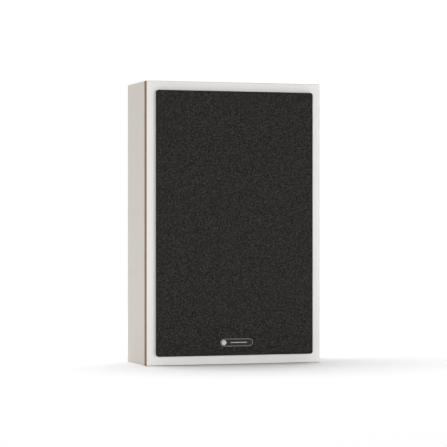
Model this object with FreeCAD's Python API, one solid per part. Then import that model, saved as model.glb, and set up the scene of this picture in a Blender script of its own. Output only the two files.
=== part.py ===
"""Slim two-way loudspeaker for a shelf or a wall, in millimetres, one STEP file per sub-part.

The part stands on its bottom panel: X is to the right seen from the front, the front faces -Y, and Z is up.
Pieces are drawn with Y as the depth behind the white front face. write() moves them into the part's
frame, whose origin is the centre of the overall box at the base.
"""

import FreeCAD, Part
import math
import os

from FreeCAD import Vector

# Cabinet
WIDTH = 220.0
HEIGHT = 340.0
CABINET_DEPTH = 86.0
PANEL = 12.0                      # side, top, bottom and back panels
LAMINATE = 0.8                    # white skin on the front
TRIM = 0.3                        # how far the skin stops short of the board's edges
EDGE_BOARD = 8.0                  # outer baffle, whose brown edge shows all round
INNER_BAFFLE = 12.0
BUMPER = 2.5                      # rubber pads that meet the wall

# Grille
GRILLE_SIDE_BORDER = 11.5         # white border left of and right of the grille
GRILLE_END_BORDER = 11.0          # white border above and below it
GRILLE_PROUD = 8.5
CLOTH = 0.5
GRILLE_CORNER = 3.0
GRILLE_SLOPE = (6.5, 1.5)         # width and drop of the slope round the front
BADGE_PROUD = 0.7
BADGE_LENGTH = 41.0
BADGE_WIDTH = 9.0
BADGE_Z = 26.7

# Drivers, both on the centre line
WOOFER_Z = 112.0
WOOFER_RADIUS = 84.0
WOOFER_HOLE = 73.0
TWEETER_Z = 262.0
TWEETER_RADIUS = 55.0
TWEETER_HOLE = 41.0
FLANGE = 4.0                      # thickness of both drivers' flanges, which lie flush with the front
GASKET = 0.8
RECESS_GAP = 0.3

# Back
CUP_Z = 205.0
CUP_FLANGE = 1.6
CUP_RECESS = 28.0                 # below the back face
POST_X = 16.0                     # each terminal's distance from the centre line
SOCKET_RADIUS = 2.05              # takes a 4 mm plug
SOCKET_LENGTH = 16.0
KEYHOLE_X = 70.0
KEYHOLE_Z = 280.0                 # centre of the round entry hole
KEYHOLE_ENTRY = 4.5
KEYHOLE_SLOT = 2.3                # half the slot's width
KEYHOLE_RISE = 11.0               # from the entry's centre to the slot's end centre

# Depths behind the front face that follow from those
EDGE_BOARD_BACK = LAMINATE + EDGE_BOARD
BAFFLE_BACK = EDGE_BOARD_BACK + INNER_BAFFLE
BACK_INSIDE = CABINET_DEPTH - PANEL
RECESS = FLANGE + GASKET
OVERALL_DEPTH = BADGE_PROUD + GRILLE_PROUD + CABINET_DEPTH + BUMPER
FRONT_Y = BADGE_PROUD + GRILLE_PROUD - OVERALL_DEPTH / 2
HALF_WIDTH = WIDTH / 2
INSIDE_X = HALF_WIDTH - PANEL
FIT = 0.1                         # gap round a fastener in its hole

WOOFER_SCREWS = 6
WOOFER_SCREW_CIRCLE = 80.0
TWEETER_SCREWS = 4
TWEETER_SCREW_CIRCLE = 52.0
WOOFER_SCREW_SIZE = (3.3, 2.2, 1.9, 18.0)     # head radius, head depth, shank radius, depth of the tip
TWEETER_SCREW_SIZE = (2.6, 1.8, 1.5, 16.0)

MAGNET_RADIUS = 3.0
MAGNET_X = 92.5
MAGNET_ZS = (22.5, 187.0, 317.5)

BOARD_BACK = BACK_INSIDE - 4.4    # rear face of the crossover board, on its spacers
BOARD = 1.6
BOARD_FRONT = BOARD_BACK - BOARD
BOARD_HALF = 72.0
BOARD_LOW = 243.0
BOARD_HIGH = 323.0
BOARD_SCREWS = [(x, z) for x in (-66.0, 66.0) for z in (249.0, 317.0)]

CUP_SCREWS = [(x, CUP_Z + z) for x in (-42.0, 42.0) for z in (-27.0, 27.0)]
PLATE_SCREWS = [(x, KEYHOLE_Z + z) for x in (-KEYHOLE_X, KEYHOLE_X) for z in (-16.0, 21.0)]


# ---- shape helpers -------------------------------------------------------------------------------

def block(x0, x1, d0, d1, z0, z1):
    """A box between two corners."""
    return Part.makeBox(x1 - x0, d1 - d0, z1 - z0, Vector(x0, d0, z0))


def disc(x, z, radius, d0, d1):
    """A round bar along the depth axis."""
    return Part.makeCylinder(radius, d1 - d0, Vector(x, d0, z), Vector(0, 1, 0))


def ring(x, z, outer, inner, d0, d1):
    """A flat washer along the depth axis."""
    return disc(x, z, outer, d0, d1).cut(disc(x, z, inner, d0, d1))


def turned(x, z, start, *steps, angle=360.0):
    """Turns a closed outline about the depth axis through (x, z). Points are (radius, depth), and a step of
    four numbers is an arc through the first pair to the second."""
    edges = []
    here = Vector(x + start[0], start[1], z)
    first = here
    for step in steps:
        there = Vector(x + step[-2], step[-1], z)
        if len(step) == 4:
            middle = Vector(x + step[0], step[1], z)
            edges.append(Part.Arc(here, middle, there).toShape())
        else:
            edges.append(Part.LineSegment(here, there).toShape())
        here = there
    edges.append(Part.LineSegment(here, first).toShape())
    face = Part.Face(Part.Wire(edges))
    solid = face.revolve(Vector(x, 0, z), Vector(0, 1, 0), angle)
    return Part.Solid(solid) if solid.ShapeType != "Solid" else solid


def dished(radius, top, rim, inwards=False):
    """The steps of a turned outline that draw a spherical cap, from its top on the axis to its rim, or back.
    A flat too small to see takes the place of the pole."""
    flat = 0.3
    rise = rim - top
    ball = (radius ** 2 + rise ** 2) / (2 * rise)
    middle = (radius / 2, top + ball - math.sqrt(ball ** 2 - radius ** 2 / 4))
    if inwards:
        return [(*middle, flat, top), (0, top)]
    return [(flat, top), (*middle, radius, rim)]


def rounded_wire(half_x, half_z, radius, x, z, depth):
    """A rectangle with round corners, square to the depth axis."""
    corners = [(1, 1), (-1, 1), (-1, -1), (1, -1)]
    edges = []
    ends = []
    for number, (sx, sz) in enumerate(corners):
        centre = Vector(x + sx * (half_x - radius), depth, z + sz * (half_z - radius))
        begin = math.radians(90 * number)
        points = [
            centre + Vector(radius * math.cos(begin + turn), 0, radius * math.sin(begin + turn))
            for turn in (0, math.pi / 4, math.pi / 2)
        ]
        edges.append(Part.Arc(*points).toShape())
        ends.append((points[0], points[2]))
    for number, (_, end) in enumerate(ends):
        edges.append(Part.LineSegment(end, ends[(number + 1) % 4][0]).toShape())
    return Part.Wire(Part.__sortEdges__(edges))


def rounded_block(half_x, half_z, radius, x, z, d0, d1):
    """A slab with round corners along the depth axis."""
    face = Part.Face(rounded_wire(half_x, half_z, radius, x, z, d0))
    return face.extrude(Vector(0, d1 - d0, 0))


def front_rounded(shape, depth, radius):
    """Rounds the edges that lie in the plane at that depth."""
    boxes = [(edge, edge.BoundBox) for edge in shape.Edges]
    edges = [edge for edge, box in boxes if max(abs(box.YMin - depth), abs(box.YMax - depth)) < 1e-6]
    return shape.makeFillet(radius, edges)


def around(x, z, radius, count, first_degrees):
    """Points evenly spaced on a circle."""
    angles = [math.radians(first_degrees + 360.0 * k / count) for k in range(count)]
    return [(x + radius * math.cos(a), z + radius * math.sin(a)) for a in angles]


def screw(x, z, head, head_depth, shank, tip, top=0.0):
    """A round-headed screw with a hexagon socket, driven along +depth, its head's top at the depth top."""
    body = disc(x, z, head, top, top + head_depth).fuse(disc(x, z, shank, top + head_depth, top + tip))
    return body.cut(socket(x, z, head * 0.55, top, top + head_depth * 0.6))


def socket(x, z, radius, d0, d1):
    """A hexagonal recess."""
    points = [Vector(px, d0, pz) for px, pz in around(x, z, radius, 6, 0)]
    return Part.Face(Part.makePolygon(points + points[:1])).extrude(Vector(0, d1 - d0, 0))


def rear_screw(x, z, head, shank, length, face):
    """A countersunk cross-head screw driven towards the front, its head level with the depth face."""
    sink = head - shank
    cone = Part.makeCone(shank, head, sink, Vector(x, face - sink, z), Vector(0, 1, 0))
    body = cone.fuse(disc(x, z, shank, face - length, face - sink))
    arm = head * 0.55
    slot = head * 0.11
    cross = block(x - arm, x + arm, face - sink * 0.7, face, z - slot, z + slot)
    return body.cut(cross).cut(block(x - slot, x + slot, face - sink * 0.7, face, z - arm, z + arm))


def countersink(x, z, head, shank, length, face):
    """The hole that such a screw fills, a little wider all round."""
    sink = head - shank
    cone = Part.makeCone(shank + FIT, head + FIT, sink, Vector(x, face - sink, z), Vector(0, 1, 0))
    return cone.fuse(disc(x, z, shank + FIT, face - length - FIT, face - sink))


def cut_all(shape, tools):
    """Cuts each tool out of the shape."""
    for tool in tools:
        shape = shape.cut(tool)
    return shape


def wire_path(points):
    """Straight runs joined by tangent arcs, each as large as its two runs allow."""
    edges = []
    here = points[0]
    for before, corner, after in zip(points, points[1:], points[2:]):
        back = (before - corner).normalize()
        ahead = (after - corner).normalize()
        half_turn = (math.pi - back.getAngle(ahead)) / 2
        trim = 0.45 * min((before - corner).Length, (after - corner).Length)
        radius = trim / math.tan(half_turn)
        begin = corner + back * trim
        end = corner + ahead * trim
        inward = (back + ahead).normalize()
        middle = corner + inward * (radius / math.cos(half_turn) - radius)
        edges.append(Part.LineSegment(here, begin).toShape())
        edges.append(Part.Arc(begin, middle, end).toShape())
        here = end
    edges.append(Part.LineSegment(here, points[-1]).toShape())
    return Part.Wire(edges)


def lead(radius, *points):
    """An insulated wire along straight runs and arcs."""
    points = [Vector(*p) for p in points]
    path = wire_path(points)
    section = Part.Wire(Part.makeCircle(radius, points[0], points[1] - points[0]))
    return path.makePipeShell([section], True, False)


# ---- cabinet -------------------------------------------------------------------------------------

def mitred(corners):
    """A cabinet panel with mitred ends, from its four corners seen from the front."""
    points = [Vector(x, EDGE_BOARD_BACK, z) for x, z in corners]
    face = Part.Face(Part.makePolygon(points + points[:1]))
    return face.extrude(Vector(0, CABINET_DEPTH - EDGE_BOARD_BACK, 0))


def side_panel(side):
    """The left (-1) or right (1) panel."""
    outside = side * HALF_WIDTH
    inside = side * INSIDE_X
    return mitred([(outside, 0), (inside, PANEL), (inside, HEIGHT - PANEL), (outside, HEIGHT)])


def end_panel(outside, inside):
    """The top or bottom panel, from its outer and inner heights."""
    return mitred([(-HALF_WIDTH, outside), (HALF_WIDTH, outside), (INSIDE_X, inside), (-INSIDE_X, inside)])


def keyhole(d0, d1, entry, slot):
    """The two keyhole outlines, cut through from d0 to d1."""
    shapes = []
    for x in (-KEYHOLE_X, KEYHOLE_X):
        rise = block(x - slot, x + slot, d0, d1, KEYHOLE_Z, KEYHOLE_Z + KEYHOLE_RISE)
        shapes += [disc(x, KEYHOLE_Z, entry, d0, d1), rise, disc(x, KEYHOLE_Z + KEYHOLE_RISE, slot, d0, d1)]
    return shapes


PLATE_THICKNESS = 1.5
PLATE_HALF = (13.0, 25.5)
PLATE_CENTRE_Z = KEYHOLE_Z + 2.5
PLATE_SCREW_SIZE = (3.2, 1.7, 10.0)           # head radius, shank radius, length
CUP_SCREW_SIZE = (3.0, 1.6, 12.0)
CUP_OUTER = (40.5, 25.5)                       # half sizes of the moulding behind the flange
CUP_INNER = (38.0, 23.0)                       # half sizes of the recess at its mouth
CUP_FLANGE_HALF = (46.5, 31.5)
CUP_WALL = 2.5
CUP_DRAFT = 2.0                                # how much smaller each way the recess is at its floor
CUP_GASKET = 0.6
CUP_FACE = CABINET_DEPTH + CUP_GASKET          # underside of the cup's flange
CUP_FLOOR = CABINET_DEPTH - CUP_RECESS


def back_panel():
    """Closes the cabinet from behind, with the terminal cut-out and the keyhole pockets."""
    gap = 0.5
    panel = block(-INSIDE_X, INSIDE_X, BACK_INSIDE, CABINET_DEPTH, PANEL, HEIGHT - PANEL)
    tools = [block(-CUP_OUTER[0] - gap, CUP_OUTER[0] + gap, BACK_INSIDE, CABINET_DEPTH,
                   CUP_Z - CUP_OUTER[1] - gap, CUP_Z + CUP_OUTER[1] + gap)]
    for x in (-KEYHOLE_X, KEYHOLE_X):
        seat = rounded_block(PLATE_HALF[0] + FIT, PLATE_HALF[1] + FIT, 2.0 + FIT, x, PLATE_CENTRE_Z,
                             CABINET_DEPTH - PLATE_THICKNESS, CABINET_DEPTH)
        pocket = block(x - 7, x + 7, CABINET_DEPTH - 9, CABINET_DEPTH,
                       KEYHOLE_Z - 7, KEYHOLE_Z + KEYHOLE_RISE + 7)
        tools += [seat, pocket]
    plate_tip = CABINET_DEPTH - PLATE_SCREW_SIZE[2] - FIT
    cup_tip = CUP_FACE + CUP_FLANGE - CUP_SCREW_SIZE[2] - FIT
    tools += [disc(x, z, PLATE_SCREW_SIZE[1] + FIT, plate_tip, CABINET_DEPTH) for x, z in PLATE_SCREWS]
    tools += [disc(x, z, CUP_SCREW_SIZE[1] + FIT, cup_tip, CABINET_DEPTH) for x, z in CUP_SCREWS]
    tools += [disc(x, z, BOARD_SCREW_SIZE[2] + FIT, BACK_INSIDE, BOARD_SCREW_TIP + FIT)
              for x, z in BOARD_SCREWS]
    return cut_all(panel, tools)


def screw_places():
    """Every front screw: its place and its size."""
    woofer = around(0, WOOFER_Z, WOOFER_SCREW_CIRCLE, WOOFER_SCREWS, 30)
    tweeter = around(0, TWEETER_Z, TWEETER_SCREW_CIRCLE, TWEETER_SCREWS, 45)
    places = [(x, z, WOOFER_SCREW_SIZE) for x, z in woofer]
    return places + [(x, z, TWEETER_SCREW_SIZE) for x, z in tweeter]


def driver_cuts(d0, d1):
    """Through holes for the drivers and pilot holes for their screws."""
    holes = [disc(0, WOOFER_Z, WOOFER_HOLE, d0, d1), disc(0, TWEETER_Z, TWEETER_HOLE, d0, d1)]
    holes += [disc(x, z, size[2] + FIT, d0, min(d1, size[3] + FIT)) for x, z, size in screw_places()]
    return holes


def recess_cuts(d0, d1):
    """The shallow recesses that the drivers' flanges sit in."""
    return [disc(0, WOOFER_Z, WOOFER_RADIUS + RECESS_GAP, d0, d1),
            disc(0, TWEETER_Z, TWEETER_RADIUS + RECESS_GAP, d0, d1)]


def magnet_places():
    """The six magnets behind the front skin, each facing one in the grille."""
    return [(x, z) for x in (-MAGNET_X, MAGNET_X) for z in MAGNET_ZS]


MAGNET_POCKET = 5.0


def edge_board():
    """The outer baffle, as wide as the cabinet, so that its brown edge shows on all four sides."""
    board = block(-HALF_WIDTH, HALF_WIDTH, LAMINATE, EDGE_BOARD_BACK, 0, HEIGHT)
    pockets = [disc(x, z, MAGNET_RADIUS + FIT, LAMINATE, LAMINATE + MAGNET_POCKET)
               for x, z in magnet_places()]
    holes = recess_cuts(LAMINATE, RECESS) + driver_cuts(LAMINATE, EDGE_BOARD_BACK)
    return cut_all(board, holes + pockets)


def front_laminate():
    """The thin white skin on the front of the edge board, trimmed back a little at its edges."""
    half = HALF_WIDTH - TRIM
    return cut_all(block(-half, half, 0, LAMINATE, TRIM, HEIGHT - TRIM), recess_cuts(0, LAMINATE))


def inner_baffle():
    """The board inside the cabinet that stiffens the front."""
    board = block(-INSIDE_X, INSIDE_X, EDGE_BOARD_BACK, BAFFLE_BACK, PANEL, HEIGHT - PANEL)
    return cut_all(board, driver_cuts(EDGE_BOARD_BACK, BAFFLE_BACK))


def cabinet_brace():
    """A batten glued across the baffle between the drivers."""
    return block(-INSIDE_X, INSIDE_X, BAFFLE_BACK, BAFFLE_BACK + 18, 197, 206)


def damping_pads():
    """Wadding against both side panels."""
    inner = INSIDE_X - 14
    return [block(x0, x1, 40, 72, 30, 310) for x0, x1 in ((-INSIDE_X, -inner), (inner, INSIDE_X))]


def wall_bumpers():
    """Four rubber pads at the corners of the back."""
    places = [(x, z) for x in (-92.0, 92.0) for z in (22.0, HEIGHT - 22.0)]
    rim = CABINET_DEPTH + BUMPER
    return [turned(x, z, (0, CABINET_DEPTH), (8, CABINET_DEPTH), (8, rim - 0.8), (7.2, rim), (0, rim))
            for x, z in places]


def baffle_magnets():
    """Magnets in the edge board, against the back of the skin."""
    back = LAMINATE + MAGNET_POCKET - 1
    return [disc(x, z, MAGNET_RADIUS, LAMINATE, back) for x, z in magnet_places()]


# ---- woofer --------------------------------------------------------------------------------------

LEDGE = FLANGE - 0.5              # depth of the ledge that the surround is glued to
BASKET_BACK = 41.0
SHELF = 26.0                      # depth of the shelf that the spider is glued to
TOP_PLATE = 5.0
FERRITE = 14.0
YOKE_PLATE = 5.0
COIL_RADIUS = 13.05               # outside of the voice coil's former
CONE_EDGE = 57.5
CONE_FRONT = (LEDGE, 10.9, 20.2)  # depth of the cone's front face at its edge, mid radius and neck
CONE_MID = 33.5
CONE_NECK = 13.3
CONE_THICKNESS = 0.6
CAP_RADIUS = 20.0
CAP_RISE = 6.2
GLUE = 0.02


def turned_sector(start, steps, middle_degrees, width_degrees):
    """Part of a turned shape about the woofer's axis, centred on an angle."""
    shape = turned(0, WOOFER_Z, start, *steps, angle=width_degrees)
    shape.rotate(Vector(0, 0, WOOFER_Z), Vector(0, 1, 0), middle_degrees - width_degrees / 2)
    return shape


def woofer_basket():
    """The cast chassis: flange, six ribs with windows between them, spider shelf and rear ring."""
    shell = turned(0, WOOFER_Z, (WOOFER_RADIUS, 0), (WOOFER_RADIUS, FLANGE), (72.6, FLANGE), (72.6, 8),
                   (47, BASKET_BACK), (16, BASKET_BACK), (16, BASKET_BACK - 2.5), (44.5, BASKET_BACK - 2.5),
                   (51.4, SHELF + 2), (47, SHELF + 2), (47, SHELF), (53.1, SHELF), (70, 6), (71, 6),
                   (71, LEDGE), (76.5, LEDGE), (76.5, 0))
    tools = []
    for number in range(6):
        middle = 60.0 * number
        tools.append(turned_sector((48, 10), [(80, 10), (80, 23), (48, 23)], middle, 43))
        tools.append(turned_sector((30, 30), [(60, 30), (60, 37), (30, 37)], middle, 43))
    tools += [disc(x, z, WOOFER_SCREW_SIZE[2] + 0.3, 0, FLANGE).fuse(
        disc(x, z, WOOFER_SCREW_SIZE[0] + FIT, 0, WOOFER_SCREW_SIZE[1]))
        for x, z, size in screw_places() if size is WOOFER_SCREW_SIZE]
    return cut_all(shell, tools)


def woofer_gasket():
    """Foam ring under the woofer's flange."""
    body = ring(0, WOOFER_Z, WOOFER_RADIUS - 0.5, WOOFER_HOLE + 0.5, FLANGE, RECESS)
    holes = [disc(x, z, WOOFER_SCREW_SIZE[2] + 0.3, FLANGE, RECESS)
             for x, z, size in screw_places() if size is WOOFER_SCREW_SIZE]
    return cut_all(body, holes)


def woofer_trim_ring():
    """The ring that covers the surround's outer rim."""
    return turned(0, WOOFER_Z, (72.9, 1.4), (74.3, 0), (76.4, 0), (76.4, 2.7), (72.9, 2.7))


def woofer_surround():
    """Half-roll rubber edge between the basket's ledge and the cone."""
    top = LEDGE - 0.8
    middle = 66.75
    outer = 5.15
    inner = 4.35
    lift = math.sqrt(outer ** 2 - (LEDGE - top) ** 2)
    return turned(0, WOOFER_Z, (CONE_EDGE, LEDGE), (CONE_EDGE, top), (middle - lift, top),
                  (middle, LEDGE - outer, middle + lift, top), (76.3, top), (76.3, LEDGE),
                  (middle + inner, LEDGE), (middle, LEDGE - inner, middle - inner, LEDGE))


def arc_depth(radius):
    """Depth of the cone's front face at a radius, on the arc through its three given points."""
    a, b, c = [Vector(r, d, 0) for r, d in zip((CONE_EDGE, CONE_MID, CONE_NECK), CONE_FRONT)]
    circle = Part.Arc(a, b, c).toShape().Curve
    centre = circle.Center
    side = math.copysign(1, b.y - centre.y)
    return centre.y + side * math.sqrt(circle.Radius ** 2 - (radius - centre.x) ** 2)


def woofer_cone():
    """Flared metal cone with a flat lip that the surround is glued to."""
    thick = CONE_THICKNESS
    edge, mid, neck = CONE_FRONT
    return turned(0, WOOFER_Z, (61.3, edge), (CONE_EDGE, edge), (CONE_MID, mid, CONE_NECK, neck),
                  (CONE_NECK, neck + thick * 1.3), (CONE_MID, mid + thick, CONE_EDGE, edge + thick),
                  (61.3, edge + thick))


def woofer_dust_cap():
    """Domed cap glued over the voice coil."""
    rim = arc_depth(CAP_RADIUS) - GLUE
    inner_rim = arc_depth(CAP_RADIUS - 0.8) - GLUE
    apex = rim - CAP_RISE
    inside = apex + CONE_THICKNESS
    return turned(0, WOOFER_Z, (0, apex), *dished(CAP_RADIUS, apex, rim),
                  (CAP_RADIUS - 0.8, inner_rim), *dished(CAP_RADIUS - 0.8, inside, inner_rim, True))


def woofer_voice_coil():
    """Former with its winding, five millimetres of which lie in the magnet's gap."""
    return turned(0, WOOFER_Z, (12.8, 18), (COIL_RADIUS, 18), (COIL_RADIUS, 37), (13.5, 37), (13.5, 50),
                  (12.8, 50))


def woofer_spider():
    """Corrugated disc that centres the voice coil and returns it."""
    start = COIL_RADIUS + 0.1
    steps = [(16.0, SHELF - 0.8)]
    for number in range(5):
        crest = 16.0 + 6.0 * number
        steps.append((crest + 1.5, SHELF - 2.2, crest + 3.0, SHELF - 0.8))
        steps.append((crest + 4.5, SHELF + 0.6, crest + 6.0, SHELF - 0.8))
    steps += [(52.5, SHELF - 0.8), (52.5, SHELF - 0.2), (46.0, SHELF - 0.2)]
    for number in reversed(range(5)):
        crest = 16.0 + 6.0 * number
        steps.append((crest + 4.5, SHELF + 1.2, crest + 3.0, SHELF - 0.2))
        steps.append((crest + 1.5, SHELF - 1.6, crest, SHELF - 0.2))
    steps.append((start, SHELF - 0.2))
    return turned(0, WOOFER_Z, (start, SHELF - 0.8), *steps)


def woofer_top_plate():
    """Steel washer round the voice coil's gap."""
    return ring(0, WOOFER_Z, 43, 14, BASKET_BACK, BASKET_BACK + TOP_PLATE)


def woofer_magnet():
    """Ferrite ring."""
    front = BASKET_BACK + TOP_PLATE
    return ring(0, WOOFER_Z, 45, 18, front, front + FERRITE)


def woofer_yoke():
    """Back plate and vented pole piece in one."""
    plate = BASKET_BACK + TOP_PLATE + FERRITE
    back = plate + YOKE_PLATE
    return turned(0, WOOFER_Z, (4, BASKET_BACK), (12.4, BASKET_BACK), (12.4, plate), (43, plate),
                  (43, back - 1), (42, back), (4, back))


def woofer_tags():
    """Insulating strip glued behind the basket's rear ring, with two solder tags."""
    low = WOOFER_Z + 43.5
    back = BASKET_BACK + 1.6
    strip = block(-11, 11, BASKET_BACK, back, low, low + 11)
    return [strip] + [block(x - 1.4, x + 1.4, back, back + 0.9, low + 4, low + 16) for x in (-6.0, 6.0)]


# ---- tweeter -------------------------------------------------------------------------------------

FACEPLATE_BACK = 8.5
DOME_RADIUS = 12.6
DOME_HEIGHT = 4.2
GUARD_RIM = 5.7
GUARD_HOLE = 1.25
GUARD_PITCH = 3.3


def tweeter_faceplate():
    """Moulded flange with a shallow waveguide and a seat for the guard."""
    body = turned(0, TWEETER_Z, (TWEETER_RADIUS, 0), (TWEETER_RADIUS, FLANGE), (40.5, FLANGE),
                  (40.5, FACEPLATE_BACK), (17.2, FACEPLATE_BACK), (17.2, GUARD_RIM + 0.6),
                  (20.2, GUARD_RIM + 0.6), (20.2, 5.2), (33, 2.2, 49, 0))
    holes = [disc(x, z, TWEETER_SCREW_SIZE[2] + 0.2, 0, FLANGE).fuse(
        disc(x, z, TWEETER_SCREW_SIZE[0] + FIT, 0, TWEETER_SCREW_SIZE[1]))
        for x, z, size in screw_places() if size is TWEETER_SCREW_SIZE]
    return cut_all(body, holes)


def tweeter_gasket():
    """Foam ring under the tweeter's flange."""
    body = ring(0, TWEETER_Z, TWEETER_RADIUS - 0.5, TWEETER_HOLE + 0.5, FLANGE, RECESS)
    holes = [disc(x, z, TWEETER_SCREW_SIZE[2] + 0.2, FLANGE, RECESS)
             for x, z, size in screw_places() if size is TWEETER_SCREW_SIZE]
    return cut_all(body, holes)


def tweeter_guard():
    """Domed steel mesh over the diaphragm."""
    apex = 1.5
    shell = turned(0, TWEETER_Z, (0, apex), *dished(18, apex, GUARD_RIM), (20, GUARD_RIM),
                   (20, GUARD_RIM + 0.5), (17.9, GUARD_RIM + 0.5),
                   *dished(17.9, apex + 0.5, GUARD_RIM + 0.5, True))
    row_step = GUARD_PITCH * math.sqrt(3) / 2
    holes = []
    for row in range(-5, 6):
        shift = GUARD_PITCH / 2 if row % 2 else 0
        for column in range(-5, 6):
            x = column * GUARD_PITCH + shift
            z = row * row_step
            if math.hypot(x, z) < 16.2:
                holes.append(disc(x, TWEETER_Z + z, GUARD_HOLE, 0, GUARD_RIM + 1))
    return shell.cut(Part.makeCompound(holes))


def tweeter_dome():
    """Metal dome diaphragm."""
    base = FACEPLATE_BACK
    apex = base - DOME_HEIGHT
    return turned(0, TWEETER_Z, (0, apex), *dished(DOME_RADIUS, apex, base), (DOME_RADIUS - 0.4, base),
                  *dished(DOME_RADIUS - 0.4, apex + 0.35, base, True))


def tweeter_surround():
    """The dome's soft edge and its mounting rim."""
    base = FACEPLATE_BACK
    return turned(0, TWEETER_Z, (DOME_RADIUS + 0.1, base), (14.4, base - 1.6, 16.2, base), (19, base),
                  (19, base + 0.3), (15.9, base + 0.3), (14.4, base - 1.3, DOME_RADIUS + 0.4, base + 0.3),
                  (DOME_RADIUS + 0.1, base + 0.3))


def tweeter_voice_coil():
    """The dome's former and winding."""
    return turned(0, TWEETER_Z, (12.2, 8.5), (12.45, 8.5), (12.45, 11), (12.9, 11), (12.9, 14.6),
                  (12.2, 14.6))


def tweeter_top_plate():
    """Steel washer behind the faceplate, hollowed under the dome's edge."""
    return turned(0, TWEETER_Z, (32, 8.8), (32, 12.8), (13.4, 12.8), (13.4, 10), (17, 10), (17, 8.8))


def tweeter_magnet():
    """Ferrite ring."""
    return ring(0, TWEETER_Z, 36, 18, 12.8, 21.8)


def tweeter_yoke():
    """Back plate and pole piece in one."""
    return turned(0, TWEETER_Z, (3, 9.6), (11.8, 9.6), (11.8, 21.8), (32, 21.8), (32, 24.8), (31, 25.8),
                  (3, 25.8))


def tweeter_tags():
    """Insulating strip behind the yoke, with two solder tags."""
    strip = block(-12, 12, 25.8, 27.3, TWEETER_Z - 5, TWEETER_Z + 5)
    tags = [block(x - 1.4, x + 1.4, 27.3, 34, TWEETER_Z - 0.4, TWEETER_Z + 0.4) for x in (-7.0, 7.0)]
    return [strip] + tags


def front_screws(wanted):
    """The screws of one size."""
    return [screw(x, z, *size) for x, z, size in screw_places() if size is wanted]


# ---- terminals -----------------------------------------------------------------------------------

COLLAR = 3.0
POST_RADIUS = 4.0
POST_TIP = CUP_FLOOR + 22.6
NUT_OUTER = 5.6
KNOB_RADIUS = 7.8
KNOB_BASE = CUP_FLOOR + COLLAR + 0.3          # the knob is screwed down to just clear of the collar
KNOB_END = POST_TIP - 0.3
KNOB_LIP = 1.9
KNOB_FLUTES = 18


def terminal_cup():
    """The moulded recess on the back that holds both terminals."""
    def level(half, inset, depth, corner):
        return rounded_wire(half[0] - inset, half[1] - inset, corner, 0, CUP_Z, depth)
    mouth = CUP_FACE + CUP_FLANGE
    back = CUP_FLOOR - CUP_WALL
    body = Part.makeLoft([level(CUP_OUTER, 0, CUP_FACE, 6), level(CUP_OUTER, CUP_DRAFT, back, 5)], True)
    hollow = Part.makeLoft([level(CUP_INNER, 0, mouth, 5), level(CUP_INNER, CUP_DRAFT, CUP_FLOOR, 4)], True)
    flange = rounded_block(*CUP_FLANGE_HALF, 4, 0, CUP_Z, CUP_FACE, mouth)
    flange = front_rounded(flange, mouth, 0.8)
    holes = [disc(x, CUP_Z, 3.1, back - 1, CUP_FLOOR + 1) for x in (-POST_X, POST_X)]
    sinks = [countersink(x, z, *CUP_SCREW_SIZE, mouth) for x, z in CUP_SCREWS]
    return cut_all(body.fuse(flange), [hollow] + holes + sinks)


def terminal_gasket():
    """Foam frame under the cup's flange."""
    span = (CABINET_DEPTH, CUP_FACE)
    outer = rounded_block(CUP_FLANGE_HALF[0] - 1, CUP_FLANGE_HALF[1] - 1, 3, 0, CUP_Z, *span)
    inner = rounded_block(CUP_OUTER[0] + 0.4, CUP_OUTER[1] + 0.4, 3, 0, CUP_Z, *span)
    holes = [disc(x, z, CUP_SCREW_SIZE[1] + FIT, CABINET_DEPTH, CUP_FACE) for x, z in CUP_SCREWS]
    return cut_all(outer, [inner] + holes)


def rear_screws():
    """The countersunk screws of the cup and of the keyhole plates."""
    cup = [rear_screw(x, z, *CUP_SCREW_SIZE, CUP_FACE + CUP_FLANGE) for x, z in CUP_SCREWS]
    plates = [rear_screw(x, z, *PLATE_SCREW_SIZE, CABINET_DEPTH) for x, z in PLATE_SCREWS]
    return cup + plates


def terminal_post(x):
    """Plated brass post: collar, plain shank through the floor, and a bored rear end with a wire hole."""
    collar = CUP_FLOOR + COLLAR
    bottom = POST_TIP - SOCKET_LENGTH
    post = turned(x, CUP_Z, (0, CUP_FLOOR - 16), (3, CUP_FLOOR - 16), (3, CUP_FLOOR), (6.5, CUP_FLOOR),
                  (6.5, collar - 0.6), (5.9, collar), (POST_RADIUS, collar), (POST_RADIUS, POST_TIP - 0.5),
                  (POST_RADIUS - 0.5, POST_TIP), (SOCKET_RADIUS, POST_TIP), (SOCKET_RADIUS, bottom),
                  (0, bottom))
    wire_hole = Part.makeCylinder(1.3, 12, Vector(x, collar + 1.4, CUP_Z - 6), Vector(0, 0, 1))
    return post.cut(wire_hole)


def terminal_nut(x):
    """Brass insert that runs on the post's thread."""
    return ring(x, CUP_Z, NUT_OUTER, POST_RADIUS + 0.05, KNOB_BASE + 0.4, KNOB_END - KNOB_LIP - 0.3)


def terminal_cap(x):
    """Fluted plastic knob over the insert."""
    bore = NUT_OUTER + 0.05
    lip = POST_RADIUS + 0.3
    knob = turned(x, CUP_Z, (bore, KNOB_BASE), (KNOB_RADIUS - 0.6, KNOB_BASE),
                  (KNOB_RADIUS, KNOB_BASE + 0.6), (KNOB_RADIUS, KNOB_END - 1.2), (KNOB_RADIUS - 1.2, KNOB_END),
                  (lip, KNOB_END), (lip, KNOB_END - KNOB_LIP), (bore, KNOB_END - KNOB_LIP))
    flutes = [disc(px, pz, 0.65, KNOB_BASE + 3, KNOB_END) for px, pz in
              around(x, CUP_Z, KNOB_RADIUS + 0.25, KNOB_FLUTES, 0)]
    return knob.cut(Part.makeCompound(flutes))


def post_nuts():
    """Hexagon nuts that hold the posts from inside the cabinet."""
    back = CUP_FLOOR - CUP_WALL
    nuts = []
    for x in (-POST_X, POST_X):
        nuts.append(socket(x, CUP_Z, 5.8, back - 3, back).cut(disc(x, CUP_Z, 3 + FIT, back - 3, back)))
    return nuts


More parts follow.
